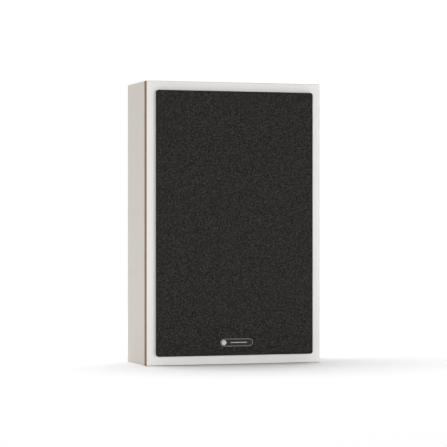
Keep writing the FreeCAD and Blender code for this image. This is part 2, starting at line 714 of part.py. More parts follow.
def keyhole_plates():
    """Steel hangers let into the back: a screw's head goes in at the round hole and up into the slot."""
    front = CABINET_DEPTH - PLATE_THICKNESS
    plates = []
    for x in (-KEYHOLE_X, KEYHOLE_X):
        plate = rounded_block(*PLATE_HALF, 2, x, PLATE_CENTRE_Z, front, CABINET_DEPTH)
        own = [(px, pz) for px, pz in PLATE_SCREWS if px == x]
        sinks = [countersink(px, pz, *PLATE_SCREW_SIZE, CABINET_DEPTH) for px, pz in own]
        plates.append(cut_all(plate, keyhole(front, CABINET_DEPTH, KEYHOLE_ENTRY, KEYHOLE_SLOT) + sinks))
    return plates


# ---- crossover -----------------------------------------------------------------------------------

BOARD_SCREW_SIZE = (3.0, 2.0, 1.5)            # head radius, head height, shank radius
BOARD_SCREW_TIP = BACK_INSIDE + 7


def crossover_board():
    """Printed circuit board on spacers behind the tweeter."""
    board = block(-BOARD_HALF, BOARD_HALF, BOARD_FRONT, BOARD_BACK, BOARD_LOW, BOARD_HIGH)
    hole = BOARD_SCREW_SIZE[2] + FIT
    return cut_all(board, [disc(x, z, hole, BOARD_FRONT, BOARD_BACK) for x, z in BOARD_SCREWS])


def board_fixings():
    """Four spacers, each with its screw."""
    head, height, shank = BOARD_SCREW_SIZE
    pieces = []
    for x, z in BOARD_SCREWS:
        cap = disc(x, z, head, BOARD_FRONT - height, BOARD_FRONT)
        pieces.append(ring(x, z, 3.5, shank + FIT, BOARD_BACK, BACK_INSIDE))
        pieces.append(cap.fuse(disc(x, z, shank, BOARD_FRONT, BOARD_SCREW_TIP)))
    return pieces


def inductors():
    """A flat-wound coil for the woofer and a smaller one, turned the other way, for the tweeter."""
    woofer = ring(-46, 284, 19, 8, BOARD_FRONT - 16, BOARD_FRONT)
    start = Vector(-6, BOARD_FRONT - 13, 255)
    outer = Part.makeCylinder(13, 14, start, Vector(0, 0, 1))
    return woofer, outer.cut(Part.makeCylinder(6, 14, start, Vector(0, 0, 1)))


def capacitors():
    """Three film capacitors lying on the board."""
    sizes = [(-20, 14, 308, 8), (24, 56, 308, 7), (26, 46, 259, 5)]
    return [Part.makeCylinder(radius, x1 - x0, Vector(x0, BOARD_FRONT - radius, z), Vector(1, 0, 0))
            for x0, x1, z, radius in sizes]


def resistors():
    """Two ceramic-cased resistors."""
    return [block(16, 62, BOARD_FRONT - 9, BOARD_FRONT, z, z + 9) for z in (270, 284)]


def wiring_loom():
    """Six insulated leads: terminals to board, board to woofer and board to tweeter."""
    radius = 1.1
    near = BOARD_FRONT - radius
    leads = []
    for side in (-1, 1):
        leads.append(lead(radius, (side * POST_X, 47, CUP_Z + 3), (side * POST_X, 47, 222),
                          (side * 22, 53, 236), (side * 26, 62, 244), (side * 28, near, 250)))
        leads.append(lead(radius, (side * 6 - 30, near, 247), (side * 6 - 34, 58, 238),
                          (side * 6 - 33, 47, 222), (side * 6 - 32, 46, 202), (side * 6 - 19, 44, 189),
                          (side * 6 - 1, 43.5, 181), (side * 6, 43.05, 171.7)))
        leads.append(lead(radius, (side * 5 + 14, near, 256), (side * 5 + 13, 58, 250),
                          (side * 6 + 8, 46, 248), (side * 6.5 + 2, 38, 254), (side * 7, 35, 260)))
    return leads


# ---- grille --------------------------------------------------------------------------------------

GRILLE_HALF = (HALF_WIDTH - GRILLE_SIDE_BORDER, HEIGHT / 2 - GRILLE_END_BORDER)
GRILLE_BAR = 10.5
GRILLE_RIB = (194.0, 206.0)
GRILLE_WINDOW_CORNER = 1.0
BADGE_BAR = 34.0                  # top of the deeper bottom bar that the badge is pinned to
GRILLE_GAP = 0.2                  # felt-thin gap between the grille's back and the white front


def sloped_slab(inset):
    """The grille's body, drawn in by a cover's thickness: a slab whose front slopes back to its edges."""
    half_x, half_z = (half - inset for half in GRILLE_HALF)
    width, drop = GRILLE_SLOPE
    front = -GRILLE_PROUD + inset
    body = rounded_block(half_x, half_z, GRILLE_CORNER - inset, 0, HEIGHT / 2, front + drop, -GRILLE_GAP)
    foot = rounded_wire(half_x, half_z, GRILLE_CORNER - inset, 0, HEIGHT / 2, front + drop)
    top = rounded_wire(GRILLE_HALF[0] - width, GRILLE_HALF[1] - width, 1.0, 0, HEIGHT / 2, front)
    return body.fuse(Part.makeLoft([foot, top], True, True)).removeSplitter()


def grille_frame():
    """Moulded frame with one cross rib between the windows in front of the drivers."""
    half_x, half_z = (half - CLOTH for half in GRILLE_HALF)
    front = -GRILLE_PROUD + CLOTH
    inside = half_x - GRILLE_BAR
    windows = [(BADGE_BAR, GRILLE_RIB[0]), (GRILLE_RIB[1], HEIGHT / 2 + half_z - GRILLE_BAR)]
    cuts = [rounded_block(inside, (z1 - z0) / 2, GRILLE_WINDOW_CORNER, 0, (z0 + z1) / 2, front, -GRILLE_GAP)
            for z0, z1 in windows]
    pockets = [disc(x, z, MAGNET_RADIUS + FIT, -GRILLE_GAP - 3, -GRILLE_GAP) for x, z in magnet_places()]
    return cut_all(sloped_slab(CLOTH), cuts + pockets)


def grille_magnets():
    """Magnets in the back of the grille frame."""
    return [disc(x, z, MAGNET_RADIUS, -GRILLE_GAP - 2.8, -GRILLE_GAP) for x, z in magnet_places()]


def grille_cloth():
    """Cloth over the front and the sides of the frame."""
    return sloped_slab(0).cut(sloped_slab(CLOTH))


def badge_plate():
    """Plain pill-shaped plate on the cloth, with a raised rim."""
    half = BADGE_LENGTH / 2
    end = BADGE_WIDTH / 2
    front = -GRILLE_PROUD - BADGE_PROUD
    plate = rounded_block(half, end, end - 0.01, 0, BADGE_Z, front, -GRILLE_PROUD)
    return plate.cut(rounded_block(half - 0.6, end - 0.6, end - 0.61, 0, BADGE_Z, front, front + 0.3))


# ---- writing -------------------------------------------------------------------------------------

def write(name, shape):
    """Moves a piece, or a list of pieces, into the part's frame and writes its STEP file."""
    solids = shape if isinstance(shape, list) else [shape]
    placed = []
    for solid in solids:
        found = solid.Solids
        if len(found) != 1 or not found[0].isValid():
            raise ValueError(f"{name}: {len(found)} solids, or one that isn't valid")
        copy = found[0].copy()
        copy.translate(Vector(0, FRONT_Y, 0))
        placed.append(copy)
    made = placed[0] if len(placed) == 1 else Part.makeCompound(placed)
    made.exportStep(os.path.join("parts", name + ".step"))


def main():
    """Builds every sub-part."""
    os.makedirs("parts", exist_ok=True)
    woofer_coil, tweeter_coil = inductors()
    pieces = {
        "left_side_panel": side_panel(-1),
        "right_side_panel": side_panel(1),
        "top_panel": end_panel(HEIGHT, HEIGHT - PANEL),
        "bottom_panel": end_panel(0, PANEL),
        "back_panel": back_panel(),
        "inner_baffle": inner_baffle(),
        "edge_board": edge_board(),
        "front_laminate": front_laminate(),
        "cabinet_brace": cabinet_brace(),
        "damping_pads": damping_pads(),
        "wall_bumpers": wall_bumpers(),
        "baffle_magnets": baffle_magnets(),
        "keyhole_plates": keyhole_plates(),
        "rear_screws": rear_screws(),
        "terminal_cup": terminal_cup(),
        "terminal_gasket": terminal_gasket(),
        "post_nuts": post_nuts(),
        "crossover_board": crossover_board(),
        "board_fixings": board_fixings(),
        "woofer_inductor": woofer_coil,
        "tweeter_inductor": tweeter_coil,
        "capacitors": capacitors(),
        "resistors": resistors(),
        "wiring_loom": wiring_loom(),
        "woofer_basket": woofer_basket(),
        "woofer_gasket": woofer_gasket(),
        "woofer_trim_ring": woofer_trim_ring(),
        "woofer_surround": woofer_surround(),
        "woofer_cone": woofer_cone(),
        "woofer_dust_cap": woofer_dust_cap(),
        "woofer_voice_coil": woofer_voice_coil(),
        "woofer_spider": woofer_spider(),
        "woofer_top_plate": woofer_top_plate(),
        "woofer_magnet": woofer_magnet(),
        "woofer_yoke": woofer_yoke(),
        "woofer_tags": woofer_tags(),
        "woofer_screws": front_screws(WOOFER_SCREW_SIZE),
        "tweeter_faceplate": tweeter_faceplate(),
        "tweeter_gasket": tweeter_gasket(),
        "tweeter_guard": tweeter_guard(),
        "tweeter_dome": tweeter_dome(),
        "tweeter_surround": tweeter_surround(),
        "tweeter_voice_coil": tweeter_voice_coil(),
        "tweeter_top_plate": tweeter_top_plate(),
        "tweeter_magnet": tweeter_magnet(),
        "tweeter_yoke": tweeter_yoke(),
        "tweeter_tags": tweeter_tags(),
        "tweeter_screws": front_screws(TWEETER_SCREW_SIZE),
        "grille_frame": grille_frame(),
        "grille_cloth": grille_cloth(),
        "grille_magnets": grille_magnets(),
        "badge_plate": badge_plate(),
    }
    for colour, x in (("red", -POST_X), ("black", POST_X)):
        pieces[colour + "_post"] = terminal_post(x)
        pieces[colour + "_nut"] = terminal_nut(x)
        pieces[colour + "_cap"] = terminal_cap(x)
    for name, shape in pieces.items():
        write(name, shape)


if __name__ == "__main__":
    main()
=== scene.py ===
"""The looks of a slim two-way shelf loudspeaker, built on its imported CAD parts.

The cabinet stands on the floor at Z = 0, its front faces -Y, and X is to the right seen from the front.
Depths are counted in millimetres behind the white front face.
"""

import logging
import math
from collections.abc import Iterable, Mapping, Sequence
from dataclasses import dataclass
from enum import Enum
from typing import Protocol

import bmesh
import bpy
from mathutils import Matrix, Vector, noise
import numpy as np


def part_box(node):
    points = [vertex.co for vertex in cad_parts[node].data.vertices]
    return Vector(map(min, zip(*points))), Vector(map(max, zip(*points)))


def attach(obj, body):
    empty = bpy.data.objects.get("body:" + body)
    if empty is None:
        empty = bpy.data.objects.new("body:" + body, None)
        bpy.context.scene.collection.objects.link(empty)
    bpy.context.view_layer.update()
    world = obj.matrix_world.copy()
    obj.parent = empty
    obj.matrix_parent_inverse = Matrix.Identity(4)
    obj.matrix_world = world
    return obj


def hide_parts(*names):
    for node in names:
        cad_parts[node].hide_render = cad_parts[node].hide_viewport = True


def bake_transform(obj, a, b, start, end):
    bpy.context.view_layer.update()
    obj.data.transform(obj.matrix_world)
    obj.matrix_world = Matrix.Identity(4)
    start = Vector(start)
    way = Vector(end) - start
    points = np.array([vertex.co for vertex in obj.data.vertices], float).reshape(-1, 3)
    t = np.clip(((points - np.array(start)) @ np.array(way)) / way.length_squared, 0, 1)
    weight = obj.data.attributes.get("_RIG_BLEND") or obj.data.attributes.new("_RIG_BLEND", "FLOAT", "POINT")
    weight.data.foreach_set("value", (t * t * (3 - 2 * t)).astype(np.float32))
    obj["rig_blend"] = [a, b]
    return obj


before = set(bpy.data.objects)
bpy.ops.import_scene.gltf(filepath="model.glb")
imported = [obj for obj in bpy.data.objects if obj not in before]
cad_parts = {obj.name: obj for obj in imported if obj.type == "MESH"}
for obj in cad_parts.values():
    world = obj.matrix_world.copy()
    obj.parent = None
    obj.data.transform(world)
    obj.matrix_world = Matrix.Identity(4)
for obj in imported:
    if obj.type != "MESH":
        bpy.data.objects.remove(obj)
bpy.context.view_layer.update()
FRONT_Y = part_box("front_laminate")[0].y
LOG = logging.getLogger("loudspeaker")

MM = 0.001
SMOOTH_BELOW = math.radians(38)
Point2 = tuple[float, float]
Point4 = tuple[float, float, float, float]
Colour = tuple[float, float, float, float]


# ---- numbers and colours -----------------------------------------------------------------------------------


def linear(code: str) -> Colour:
    """Turns an sRGB colour to linear light.

    Args:
        code: Six hexadecimal digits, such as "E0DFDD".

    Returns:
        Red, green, blue and alpha, from 0 to 1.
    """
    channels = [int(code[i:i + 2], 16) / 255 for i in (0, 2, 4)]
    red, green, blue = (c / 12.92 if c <= 0.04045 else ((c + 0.055) / 1.055) ** 2.4 for c in channels)
    return red, green, blue, 1.0


def at(x: float, depth: float, z: float) -> Vector:
    """A point given in millimetres, with its depth behind the front face, in the row frame in metres."""
    return Vector((x * MM, FRONT_Y + depth * MM, z * MM))


# ---- node trees --------------------------------------------------------------------------------------------


def add(
    tree: bpy.types.NodeTree,
    kind: str,
    inputs: Mapping[str | int, object] | None = None,
    **settings: object,
) -> bpy.types.Node:
    """Adds a node with its settings and its inputs.

    Args:
        tree: The tree that gets the node.
        kind: The node's type, such as "ShaderNodeBump".
        inputs: Each input by name or number: a socket is linked to it, and any other value is set on it.
        **settings: The node's own properties.

    Returns:
        The new node.
    """
    made = tree.nodes.new(kind)
    for name, value in settings.items():
        setattr(made, name, value)
    for key, value in (inputs or {}).items():
        if isinstance(value, bpy.types.NodeSocket):
            tree.links.new(value, made.inputs[key])
        else:
            made.inputs[key].default_value = value
    return made


def raised(tree: bpy.types.NodeTree, height: bpy.types.NodeSocket, depth_mm: float) -> bpy.types.NodeSocket:
    """Turns a relief into the way that the surface faces.

    Args:
        tree: The material's tree.
        height: The relief, from 0 to 1.
        depth_mm: How far 1 stands up.

    Returns:
        The output with the surface's direction.
    """
    return add(tree, "ShaderNodeBump", {
        "Height": height, "Strength": 1.0, "Distance": depth_mm * MM,
    }).outputs["Normal"]


class Grain(Enum):
    """The relief that a mould, a roller or a spray gun leaves."""

    PEEL = "soft dimples of paint or calendered film"
    PEBBLE = "rounded pebbles of a spark-eroded mould"
    CELL = "open cells of cut foam"
    FIBRE = "felted fibres"


class Layout(Enum):
    """Where a cloth's threads take their places from."""

    FLAT_CUT = "the flat pattern that the piece was cut to"
    FACE_ON = "straight across the piece, seen from the front"


@dataclass(frozen=True)
class Finish:
    """A surface, named for what it is and how it was made.

    Attributes:
        name: The material's name in the scene.
        roughness: The middle of its roughness.
        metallic: 1 for bare metal, or 0.
    """

    name: str
    roughness: float = 0.5
    metallic: float = 0.0

    def material(self) -> bpy.types.Material:
        """Makes the finish's material the first time it is asked for.

        Returns:
            The scene's material.
        """
        found = bpy.data.materials.get(self.name)
        if found is not None:
            return found
        made = bpy.data.materials.new(self.name)
        made.use_nodes = True
        tree = made.node_tree
        tree.nodes.clear()
        shader = self.shade(tree)
        add(tree, "ShaderNodeOutputMaterial", {"Surface": shader.outputs[0]})
        return made

    def shade(self, tree: bpy.types.NodeTree) -> bpy.types.Node:
        """Builds the surface's nodes.

        Args:
            tree: The material's empty tree.

        Returns:
            The shader node.
        """
        raise NotImplementedError


@dataclass(frozen=True)
class Skin(Finish):
    """Film, paint, plastic, rubber or foam: two close shades in soft patches over a fine relief.

    Attributes:
        shades: The two shades, as sRGB hex.
        patch_mm: How large the patches of shade are.
        grain: The kind of relief.
        grain_mm: The relief's size across.
        depth_mm: The relief's height.
        spread: How far the roughness goes either side of its middle.
        coat: The weight of a clear layer on top.
        sheen: The weight of the soft light on raised fibres.
        specular: The strength of the mirror reflection, 0.5 for most plastics.
    """

    shades: tuple[str, str] = ("808080", "8A8A8A")
    patch_mm: float = 30.0
    grain: Grain = Grain.PEEL
    grain_mm: float = 1.0
    depth_mm: float = 0.02
    spread: float = 0.05
    coat: float = 0.0
    sheen: float = 0.0
    specular: float = 0.5

    def shade(self, tree: bpy.types.NodeTree) -> bpy.types.Node:
        """Patches of shade and roughness from one slow noise, and the grain as a bump.

        Args:
            tree: The material's empty tree.

        Returns:
            The shader node.
        """
        place = add(tree, "ShaderNodeTexCoord").outputs["Object"]
        patches = add(tree, "ShaderNodeTexNoise", {
            "Vector": place, "Scale": 1 / (self.patch_mm * MM), "Detail": 4.0, "Roughness": 0.6,
        }).outputs["Fac"]
        colour = add(tree, "ShaderNodeMix", {
            "Factor": patches, 6: linear(self.shades[0]), 7: linear(self.shades[1]),
        }, data_type="RGBA").outputs[2]
        relief = self.relief(tree, place)
        roughness = add(tree, "ShaderNodeMapRange", {
            "Value": patches, "From Min": 0.25, "From Max": 0.75,
            "To Min": self.roughness - self.spread, "To Max": self.roughness + self.spread,
        }).outputs["Result"]
        facing = raised(tree, relief, self.depth_mm)
        return add(tree, "ShaderNodeBsdfPrincipled", {
            "Base Color": colour, "Roughness": roughness, "Metallic": self.metallic,
            "Normal": facing, "Coat Weight": self.coat, "Coat Roughness": 0.08,
            "Sheen Weight": self.sheen, "Sheen Roughness": 0.5, "Specular IOR Level": self.specular,
        })

    def relief(self, tree: bpy.types.NodeTree, place: bpy.types.NodeSocket) -> bpy.types.NodeSocket:
        """The grain's height, from 0 to 1.

        Args:
            tree: The material's tree.
            place: The texture's coordinates, in metres.

        Returns:
            The socket that carries the height.
        """
        scale = 1 / (self.grain_mm * MM)
        if self.grain in (Grain.PEBBLE, Grain.CELL):
            return add(tree, "ShaderNodeTexVoronoi", {
                "Vector": place, "Scale": scale, "Smoothness": 0.6,
            }, feature="SMOOTH_F1").outputs["Distance"]
        stretch = (1.0, 1.0, 1.0) if self.grain is Grain.PEEL else (0.25, 1.0, 0.6)
        along = add(tree, "ShaderNodeMapping", {"Vector": place, "Scale": stretch}).outputs[0]
        return add(tree, "ShaderNodeTexNoise", {
            "Vector": along, "Scale": scale, "Detail": 3.0, "Roughness": 0.55,
        }).outputs["Fac"]


@dataclass(frozen=True)
class PressedBoard(Finish):
    """Fibreboard cut through: fibres pressed flat into layers, darker and denser near the board's two faces.

    Attributes:
        shades: Pale fibre, middle tone and dark resin, as sRGB hex.
        fibre_mm: A bundle of fibres across, and about ten times that along.
        resin_mm: The size of the patches where resin has darkened the fibres.
        relief_mm: How far the fibres stand up.
        near_mm: The depth of the board's front face behind the cabinet's.
        far_mm: The depth of its back face.
    """

    shades: tuple[str, str, str] = ("AE8136", "90692A", "6C4A18")
    fibre_mm: float = 0.35
    resin_mm: float = 9.0
    relief_mm: float = 0.06
    near_mm: float = 0.8
    far_mm: float = 8.8

    def shade(self, tree: bpy.types.NodeTree) -> bpy.types.Node:
        """Long thin noise for the fibres, a slow one for resin, and a dark band at each face of the board.

        Args:
            tree: The material's empty tree.

        Returns:
            The shader node.
        """
        place = add(tree, "ShaderNodeTexCoord").outputs["Object"]
        layers = add(tree, "ShaderNodeMapping", {"Vector": place, "Scale": (0.1, 1.0, 0.1)}).outputs[0]
        fibres = add(tree, "ShaderNodeTexNoise", {
            "Vector": layers, "Scale": 1 / (self.fibre_mm * MM), "Detail": 5.0, "Roughness": 0.65,
        }).outputs["Fac"]
        resin = add(tree, "ShaderNodeTexNoise", {
            "Vector": place, "Scale": 1 / (self.resin_mm * MM), "Detail": 3.0,
        }).outputs["Fac"]
        depth = add(tree, "ShaderNodeSeparateXYZ", {"Vector": place}).outputs["Y"]
        middle = FRONT_Y + (self.near_mm + self.far_mm) / 2 * MM
        half = (self.far_mm - self.near_mm) / 2 * MM
        from_middle = add(tree, "ShaderNodeMath", {0: depth, 1: -middle}, operation="ADD").outputs[0]
        off = add(tree, "ShaderNodeMath", {0: from_middle}, operation="ABSOLUTE").outputs[0]
        dense = add(tree, "ShaderNodeMapRange", {
            "Value": off, "From Min": half * 0.45, "From Max": half, "To Min": 0.0, "To Max": 0.32,
        }).outputs["Result"]
        tone = add(tree, "ShaderNodeMath", {0: fibres, 1: 0.7, 2: dense}, operation="MULTIPLY_ADD").outputs[0]
        tone = add(tree, "ShaderNodeMath", {0: resin, 1: 0.25, 2: tone}, operation="MULTIPLY_ADD").outputs[0]
        ramp = add(tree, "ShaderNodeValToRGB", {"Fac": tone})
        stops = ramp.color_ramp.elements
        stops[0].position, stops[0].color = 0.28, linear(self.shades[0])
        stops[1].position, stops[1].color = 0.85, linear(self.shades[2])
        stops.new(0.52).color = linear(self.shades[1])
        facing = raised(tree, fibres, self.relief_mm)
        return add(tree, "ShaderNodeBsdfPrincipled", {
            "Base Color": ramp.outputs["Color"], "Roughness": self.roughness,
            "Normal": facing, "Specular IOR Level": 0.35,
        })


@dataclass(frozen=True)
class PlainWeave(Finish):
    """Cloth of one yarn over, one under.

    Attributes:
        shades: The dark, middle and light shades of the yarns, as sRGB hex.
        thread_mm: From one yarn to the next.
        slub_mm: The length of the uneven patches in the spun yarn.
        slub: The share of the shading that those patches make. The rest differs from crossing to crossing.
        layout: Where the threads take their places from.
        sheen: The weight of the soft light on the yarn's loose fibres.
        specular: The strength of the mirror reflection.
        depth_mm: The height of the weave.
    """

    shades: tuple[str, str, str] = ("202020", "303030", "484848")
    thread_mm: float = 1.0
    slub_mm: float = 2.4
    slub: float = 0.6
    layout: Layout = Layout.FLAT_CUT
    sheen: float = 0.15
    specular: float = 0.2
    depth_mm: float = 0.12

    def shade(self, tree: bpy.types.NodeTree) -> bpy.types.Node:
        """The height of whichever yarn is on top, its shade, and painted shade that darkens the low places
        between yarns.

        Args:
            tree: The material's empty tree.

        Returns:
            The shader node.
        """
        flat = self.threads(tree)
        across = add(tree, "ShaderNodeSeparateXYZ", {"Vector": flat})
        crowns = []
        whole = []
        for name in ("X", "Y"):
            part = add(tree, "ShaderNodeMath", {0: across.outputs[name]}, operation="FRACT").outputs[0]
            turn = add(tree, "ShaderNodeMath", {0: part, 1: math.pi}, operation="MULTIPLY").outputs[0]
            crowns.append(add(tree, "ShaderNodeMath", {0: turn}, operation="SINE").outputs[0])
            whole.append(add(tree, "ShaderNodeMath", {0: across.outputs[name]}, operation="FLOOR").outputs[0])
        order = add(tree, "ShaderNodeMath", {0: whole[0], 1: whole[1]}, operation="ADD").outputs[0]
        order = add(tree, "ShaderNodeMath", {0: order, 1: 2.0}, operation="FLOORED_MODULO").outputs[0]
        heights = []
        for own, other in ((0, 1), (1, 0)):
            arch = add(tree, "ShaderNodeMath", {0: crowns[other], 1: 0.5, 2: 0.5}, operation="MULTIPLY_ADD")
            heights.append(add(tree, "ShaderNodeMath", {
                0: crowns[own], 1: arch.outputs[0],
            }, operation="MULTIPLY").outputs[0])
        height = add(tree, "ShaderNodeMix", {"Factor": order, 2: heights[0], 3: heights[1]}).outputs[0]
        crossing = add(tree, "ShaderNodeVectorMath", {0: flat}, operation="FLOOR").outputs[0]
        yarn = add(tree, "ShaderNodeTexWhiteNoise", {
            "Vector": crossing,
        }, noise_dimensions="2D").outputs["Value"]
        slubs = add(tree, "ShaderNodeTexNoise", {
            "Vector": flat, "Scale": self.thread_mm / self.slub_mm, "Detail": 4.0, "Roughness": 0.75,
        }).outputs["Fac"]
        spread = add(tree, "ShaderNodeMapRange", {
            "Value": slubs, "From Min": 0.32, "From Max": 0.68, "To Min": 0.0, "To Max": self.slub,
        }).outputs["Result"]
        tone = add(tree, "ShaderNodeMath", {0: yarn, 1: 1 - self.slub, 2: spread}, operation="MULTIPLY_ADD")
        ramp = add(tree, "ShaderNodeValToRGB", {"Fac": tone.outputs[0]})
        stops = ramp.color_ramp.elements
        stops[0].position, stops[0].color = 0.1, linear(self.shades[0])
        stops[1].position, stops[1].color = 0.95, linear(self.shades[2])
        stops.new(0.5).color = linear(self.shades[1])
        # Painted shade: the yarns' colour is darkened to 45 % where the weave is low, between the crossings.
        gaps = add(tree, "ShaderNodeMapRange", {
            "Value": height, "From Min": 0.0, "From Max": 0.45, "To Min": 0.45, "To Max": 1.0,
        }).outputs["Result"]
        colour = add(tree, "ShaderNodeVectorMath", {
            0: ramp.outputs["Color"], "Scale": gaps,
        }, operation="SCALE").outputs[0]
        facing = raised(tree, height, self.depth_mm)
        return add(tree, "ShaderNodeBsdfPrincipled", {
            "Base Color": colour, "Roughness": self.roughness, "Normal": facing,
            "Sheen Weight": self.sheen, "Sheen Roughness": 0.6, "Specular IOR Level": self.specular,
        })

    def threads(self, tree: bpy.types.NodeTree) -> bpy.types.NodeSocket:
        """Places counted in threads, across and along the cloth.

        Args:
            tree: The material's tree.

        Returns:
            The socket that carries them, in X and Y.
        """
        count = 1 / (self.thread_mm * MM)
        if self.layout is Layout.FLAT_CUT:
            place = add(tree, "ShaderNodeUVMap", uv_map=Sheet.FLAT_MAP).outputs["UV"]
        else:
            seen = add(tree, "ShaderNodeTexCoord").outputs["Object"]
            split = add(tree, "ShaderNodeSeparateXYZ", {"Vector": seen})
            place = add(tree, "ShaderNodeCombineXYZ", {
                "X": split.outputs["X"], "Y": split.outputs["Z"],
            }).outputs[0]
        return add(tree, "ShaderNodeVectorMath", {0: place, "Scale": count}, operation="SCALE").outputs[0]


@dataclass(frozen=True)
class TurnedMetal(Finish):
    """Metal spun or turned about an axis that points to the front: fine rings round it.

    Attributes:
        shades: The metal's two close colours, as sRGB hex.
        centre_mm: The axis's X and Z.
        ring_mm: From one tool mark to the next.
        depth_mm: The marks' height.
        cloud_mm: The size of the patches of colour.
    """

    shades: tuple[str, str] = ("C4C6C8", "AEB1B4")
    centre_mm: Point2 = (0.0, 0.0)
    ring_mm: float = 0.5
    depth_mm: float = 0.004
    cloud_mm: float = 14.0

    def shade(self, tree: bpy.types.NodeTree) -> bpy.types.Node:
        """Noise along the radius alone, which makes rings, and a slow cloudiness in the colour.

        Args:
            tree: The material's empty tree.

        Returns:
            The shader node.
        """
        place = add(tree, "ShaderNodeTexCoord").outputs["Object"]
        x, z = self.centre_mm
        centred = add(tree, "ShaderNodeVectorMath", {0: place, 1: (-x * MM, 0.0, -z * MM)}, operation="ADD")
        flat = add(tree, "ShaderNodeVectorMath", {
            0: centred.outputs[0], 1: (1.0, 0.0, 1.0),
        }, operation="MULTIPLY")
        radius = add(tree, "ShaderNodeVectorMath", {0: flat.outputs[0]}, operation="LENGTH").outputs["Value"]
        rings = add(tree, "ShaderNodeTexNoise", {
            "W": radius, "Scale": 1 / (self.ring_mm * MM), "Detail": 3.0, "Roughness": 0.7,
        }, noise_dimensions="1D").outputs["Fac"]
        cloud = add(tree, "ShaderNodeTexNoise", {
            "Vector": place, "Scale": 1 / (self.cloud_mm * MM), "Detail": 3.0,
        }).outputs["Fac"]
        colour = add(tree, "ShaderNodeMix", {
            "Factor": cloud, 6: linear(self.shades[0]), 7: linear(self.shades[1]),
        }, data_type="RGBA").outputs[2]
        roughness = add(tree, "ShaderNodeMapRange", {
            "Value": rings, "From Min": 0.3, "From Max": 0.7,
            "To Min": self.roughness - 0.06, "To Max": self.roughness + 0.06,
        }).outputs["Result"]
        facing = raised(tree, rings, self.depth_mm)
        return add(tree, "ShaderNodeBsdfPrincipled", {
            "Base Color": colour, "Roughness": roughness, "Metallic": 1.0, "Normal": facing,
        })


@dataclass(frozen=True)
class WoundWire(Finish):
    """Enamelled wire wound in neat rows.

    Attributes:
        shades: The copper seen through the enamel, and the painted shade in the gaps between turns, as sRGB
            hex.
        wire_mm: The wire's diameter.
        axis: Which of X, Y and Z the coil's rows follow one another along, as 0, 1 or 2.
        ridge_share: How far a turn stands out, as a share of the wire's diameter.
    """

    shades: tuple[str, str] = ("B4693A", "5A2C14")
    wire_mm: float = 1.0
    axis: int = 1
    ridge_share: float = 0.4

    def shade(self, tree: bpy.types.NodeTree) -> bpy.types.Node:
        """A rounded ridge for each turn, and painted shade in the gaps between turns.

        Args:
            tree: The material's empty tree.

        Returns:
            The shader node.
        """
        place = add(tree, "ShaderNodeTexCoord").outputs["Object"]
        split = add(tree, "ShaderNodeSeparateXYZ", {"Vector": place})
        turns = add(tree, "ShaderNodeMath", {
            0: split.outputs[self.axis], 1: math.pi / (self.wire_mm * MM),
        }, operation="MULTIPLY").outputs[0]
        wave = add(tree, "ShaderNodeMath", {0: turns}, operation="SINE").outputs[0]
        ridge = add(tree, "ShaderNodeMath", {0: wave}, operation="ABSOLUTE").outputs[0]
        # Painted shade: the colour turns to the dark shade in the gaps between turns, where the ridge is low.
        colour = add(tree, "ShaderNodeMix", {
            "Factor": ridge, 6: linear(self.shades[1]), 7: linear(self.shades[0]),
        }, data_type="RGBA").outputs[2]
        facing = raised(tree, ridge, self.wire_mm * self.ridge_share)
        return add(tree, "ShaderNodeBsdfPrincipled", {
            "Base Color": colour, "Roughness": self.roughness, "Metallic": 1.0,
            "Normal": facing, "Coat Weight": 0.6, "Coat Roughness": 0.1,
        })


@dataclass(frozen=True)
class EtchedBoard(Finish):
    """Glass-epoxy circuit board under solder mask: copper tracks show as paler, raised lines.

    Attributes:
        shades: The mask over bare board and over copper, as sRGB hex.
        track_mm: The tracks' pitch.
        copper_mm: How far the copper stands up.
        glass_mm: The size of the glass cloth's weave under the mask.
    """

    shades: tuple[str, str] = ("1E4A2E", "3A7A4C")
    track_mm: float = 9.0
    copper_mm: float = 0.05
    glass_mm: float = 0.8

    def shade(self, tree: bpy.types.NodeTree) -> bpy.types.Node:
        """Broad pours of copper with narrow gaps between them.

        Args:
            tree: The material's empty tree.

        Returns:
            The shader node.
        """
        place = add(tree, "ShaderNodeTexCoord").outputs["Object"]
        split = add(tree, "ShaderNodeSeparateXYZ", {"Vector": place})
        flat = add(tree, "ShaderNodeCombineXYZ", {
            "X": split.outputs["X"], "Y": split.outputs["Z"],
        }).outputs[0]
        pours = add(tree, "ShaderNodeTexVoronoi", {
            "Vector": flat, "Scale": 1 / (self.track_mm * MM), "Randomness": 0.75,
        }, feature="DISTANCE_TO_EDGE", voronoi_dimensions="2D").outputs["Distance"]
        copper = add(tree, "ShaderNodeMapRange", {
            "Value": pours, "From Min": 0.05, "From Max": 0.08,
        }).outputs["Result"]
        weave = add(tree, "ShaderNodeTexNoise", {
            "Vector": place, "Scale": 1 / (self.glass_mm * MM),
        }).outputs["Fac"]
        colour = add(tree, "ShaderNodeMix", {
            "Factor": copper, 6: linear(self.shades[0]), 7: linear(self.shades[1]),
        }, data_type="RGBA").outputs[2]
        height = add(tree, "ShaderNodeMath", {
            0: weave, 1: 0.2, 2: copper,
        }, operation="MULTIPLY_ADD").outputs[0]
        facing = raised(tree, height, self.copper_mm)
        return add(tree, "ShaderNodeBsdfPrincipled", {
            "Base Color": colour, "Roughness": self.roughness, "Normal": facing,
            "Coat Weight": 0.3,
        })


# ---- the finishes ------------------------------------------------------------------------------------------

# The heights of the two drivers' centres, and the places of the two posts, where turned metal has its rings.
WOOFER_Z_MM = 112.0
TWEETER_Z_MM = 262.0
POSTS_MM = {"red": (-16.0, 205.0), "black": (16.0, 205.0)}

# Calendered PVC film pressed over fibreboard: an even satin, with dimples broad enough to soften highlights.
WHITE_FILM = Skin(
    "satin_pvc_film_over_fibreboard", roughness=0.58, shades=("D3CEC7", "D0CBC4"), patch_mm=45,
    grain=Grain.PEEL, grain_mm=0.9, depth_mm=0.012, spread=0.04, specular=0.4,
)
